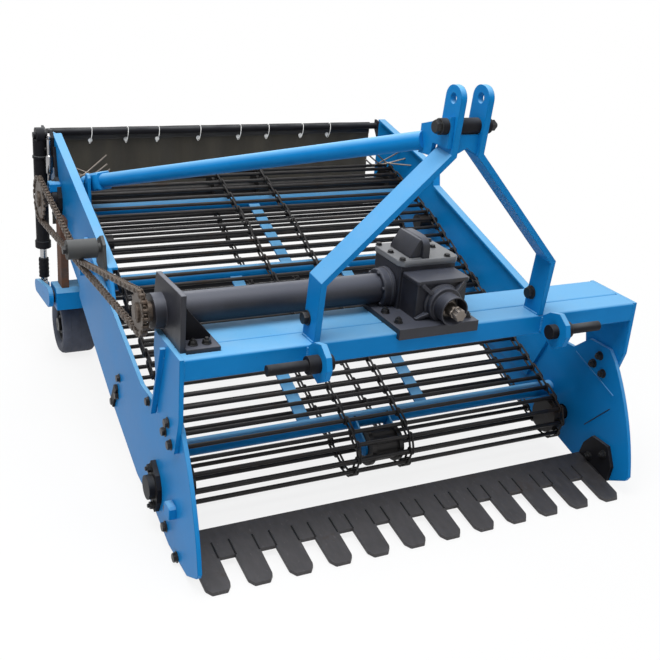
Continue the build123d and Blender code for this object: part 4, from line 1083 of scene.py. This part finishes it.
def guide_wires():
    """Bent wires inside the rear plates: a circle carried along a weighted curve from the seat, round the bend,
    to the tip. The bend's weight draws the curve close to it."""
    along = np.linspace(0, 1, 24)[:, None]
    pull = 10 * along * (1 - along)
    shapes = []
    for side in SIDES:
        for seat, bend, tip in zip(WIRE_SEATS, WIRE_BENDS, WIRE_TIPS):
            seat, bend, tip = np.array([seat, bend, tip]) * (side, 1.0, 1.0)
            line = (1 - along) ** 2 * seat + pull * bend + along ** 2 * tip
            shapes.append(tube(at(line / ((1 - along) ** 2 + pull + along ** 2)), 0.0030, 8))
    return join(*shapes)


STAY_PLACE = (-0.716, 1.468)
STAY_FOOT = 0.632
STAY_EYES = (0.811, 0.622)
STRUT_REAR = np.array([-0.640, 1.250, 0.700])
STRUT_WAY = unit(STRUT_REAR - (-0.054, 0.080, 1.100))
CLAMP_BACK = 0.100
STRUT_NUT_BACK = 0.054
WIRE_SEATS = ((0.684, 1.300, 0.700), (0.684, 1.350, 0.716), (0.684, 1.400, 0.732))
WIRE_BENDS = ((0.616, 1.385, 0.689), (0.590, 1.385, 0.682), (0.556, 1.385, 0.678))
WIRE_TIPS = ((0.532, 1.385, 0.760), (0.530, 1.385, 0.728), (0.520, 1.385, 0.709))
piece("stay_screw", stay_screw(), "rod_chrome")
piece("strut_clamp", strut_clamp(), "blue_paint")
piece("mast_gusset", mast_gusset(), "blue_paint")
piece("plate_blocks", plate_blocks(), "blue_paint")
piece("plate_straps", plate_straps(), "black_paint")
piece("guide_wires", guide_wires(), "bare_steel", stands_for="guide_tines")


# Stage, light and camera


def pale_floor():
    """A wide flat disc: rings of even steps, seen white and keeping the soft shadow."""
    turn = full_turn(64)
    rings = np.array([0.4, 6.0, 20.0])[:, None]
    points = np.concatenate([around(rings, turn), np.full((3, 64, 1), FLOOR_LEVEL)], -1)
    disc = with_faces(grid(points, wrap_v=True), np.arange(64)[None])
    f = Finish("floor_white")
    seen, gloss, through = (f.node("ShaderNodeLightPath", out=f"Is {kind} Ray")
                            for kind in ("Camera", "Glossy", "Transmission"))
    f.done(f.mix(f.noise(3.0), (0.80, 0.80, 0.80), (0.83, 0.83, 0.83)), 0.9)
    white = f.node("ShaderNodeEmission", {"Color": (1.0, 1.0, 1.0, 1.0), "Strength": 1.0})
    far = f.node("ShaderNodeVectorMath", {0: f.place}, "Value", operation="LENGTH")
    share = (seen + gloss + through) * (FLOOR_WHITE + (1.0 - FLOOR_WHITE) * f.fade(far, 0.9, 2.4))
    blend = f.node("ShaderNodeMixShader", {0: share, 1: Socket(f, f.surface.outputs[0]), 2: white})
    f.feed(f.tree.nodes["Material Output"].inputs["Surface"], blend)
    add_mesh("floor", disc, f.material)


def soft_world():
    """Even grey-white sky for the light, plain white where the camera or a reflection sees it."""
    world = bpy.data.worlds.new("studio")
    bpy.context.scene.world = world
    world.use_nodes = True
    tree = world.node_tree
    back = tree.nodes["Background"]
    back.inputs["Color"].default_value = (1.0, 1.0, 1.0, 1.0)
    path = tree.nodes.new("ShaderNodeLightPath")
    level = tree.nodes.new("ShaderNodeMapRange")
    level.inputs["To Min"].default_value = 1.0
    level.inputs["To Max"].default_value = SKY_LEVEL
    tree.links.new(path.outputs["Is Diffuse Ray"], level.inputs["Value"])
    tree.links.new(level.outputs[0], back.inputs["Strength"])


def soft_lamp(name, place, aim, size, power):
    """A square area lamp that faces its aim."""
    light = bpy.data.lights.new(name, "AREA")
    light.size = size
    light.energy = power
    lamp = bpy.data.objects.new(name, light)
    back = unit(at(place) - at(aim))
    side = unit(np.cross(UP, back))
    lamp.matrix_world = matrix(side, np.cross(back, side), back, at(place))
    bpy.context.scene.collection.objects.link(lamp)


def matrix(x, y, z, origin):
    """Object matrix with those axes and origin."""
    rows = np.eye(4)
    rows[:3, :3] = np.column_stack([x, y, z])
    rows[:3, 3] = origin
    return Matrix(rows.tolist())


def photo_camera():
    """Camera at the photograph's place: heading by yaw and pitch, then rolled about its own axis."""
    level = np.array([math.cos(CAMERA_YAW), -math.sin(CAMERA_YAW), 0.0])
    ahead = math.cos(CAMERA_PITCH) * np.cross(UP, level) - math.sin(CAMERA_PITCH) * np.array(UP)
    down = np.cross(ahead, level)
    right = math.cos(CAMERA_ROLL) * level + math.sin(CAMERA_ROLL) * down
    lower = math.cos(CAMERA_ROLL) * down - math.sin(CAMERA_ROLL) * level
    lens = bpy.data.cameras.new("photo_camera")
    lens.sensor_fit = "HORIZONTAL"
    lens.sensor_width = SENSOR
    lens.lens = FOCAL_PX / IMAGE_PX * SENSOR
    lens.clip_end = 100.0
    camera = bpy.data.objects.new("photo_camera", lens)
    camera.matrix_world = matrix(right, -lower, -ahead, at(CAMERA_PLACE))
    bpy.context.scene.collection.objects.link(camera)
    bpy.context.scene.camera = camera


SKY_LEVEL = 0.40
FLOOR_WHITE = 0.84
FLOOR_LEVEL = -0.0005
AIM = (0.0, 0.8, 0.4)
pale_floor()
soft_world()
soft_lamp("key_lamp", (-1.3, -0.3, 4.5), AIM, 3.0, 200.0)
soft_lamp("fill_lamp", (3.4, -1.6, 2.6), AIM, 3.0, 28.0)
soft_lamp("rear_lamp", (0.6, 4.6, 3.6), AIM, 3.0, 70.0)
photo_camera()
bpy.context.scene.view_settings.view_transform = "Standard"
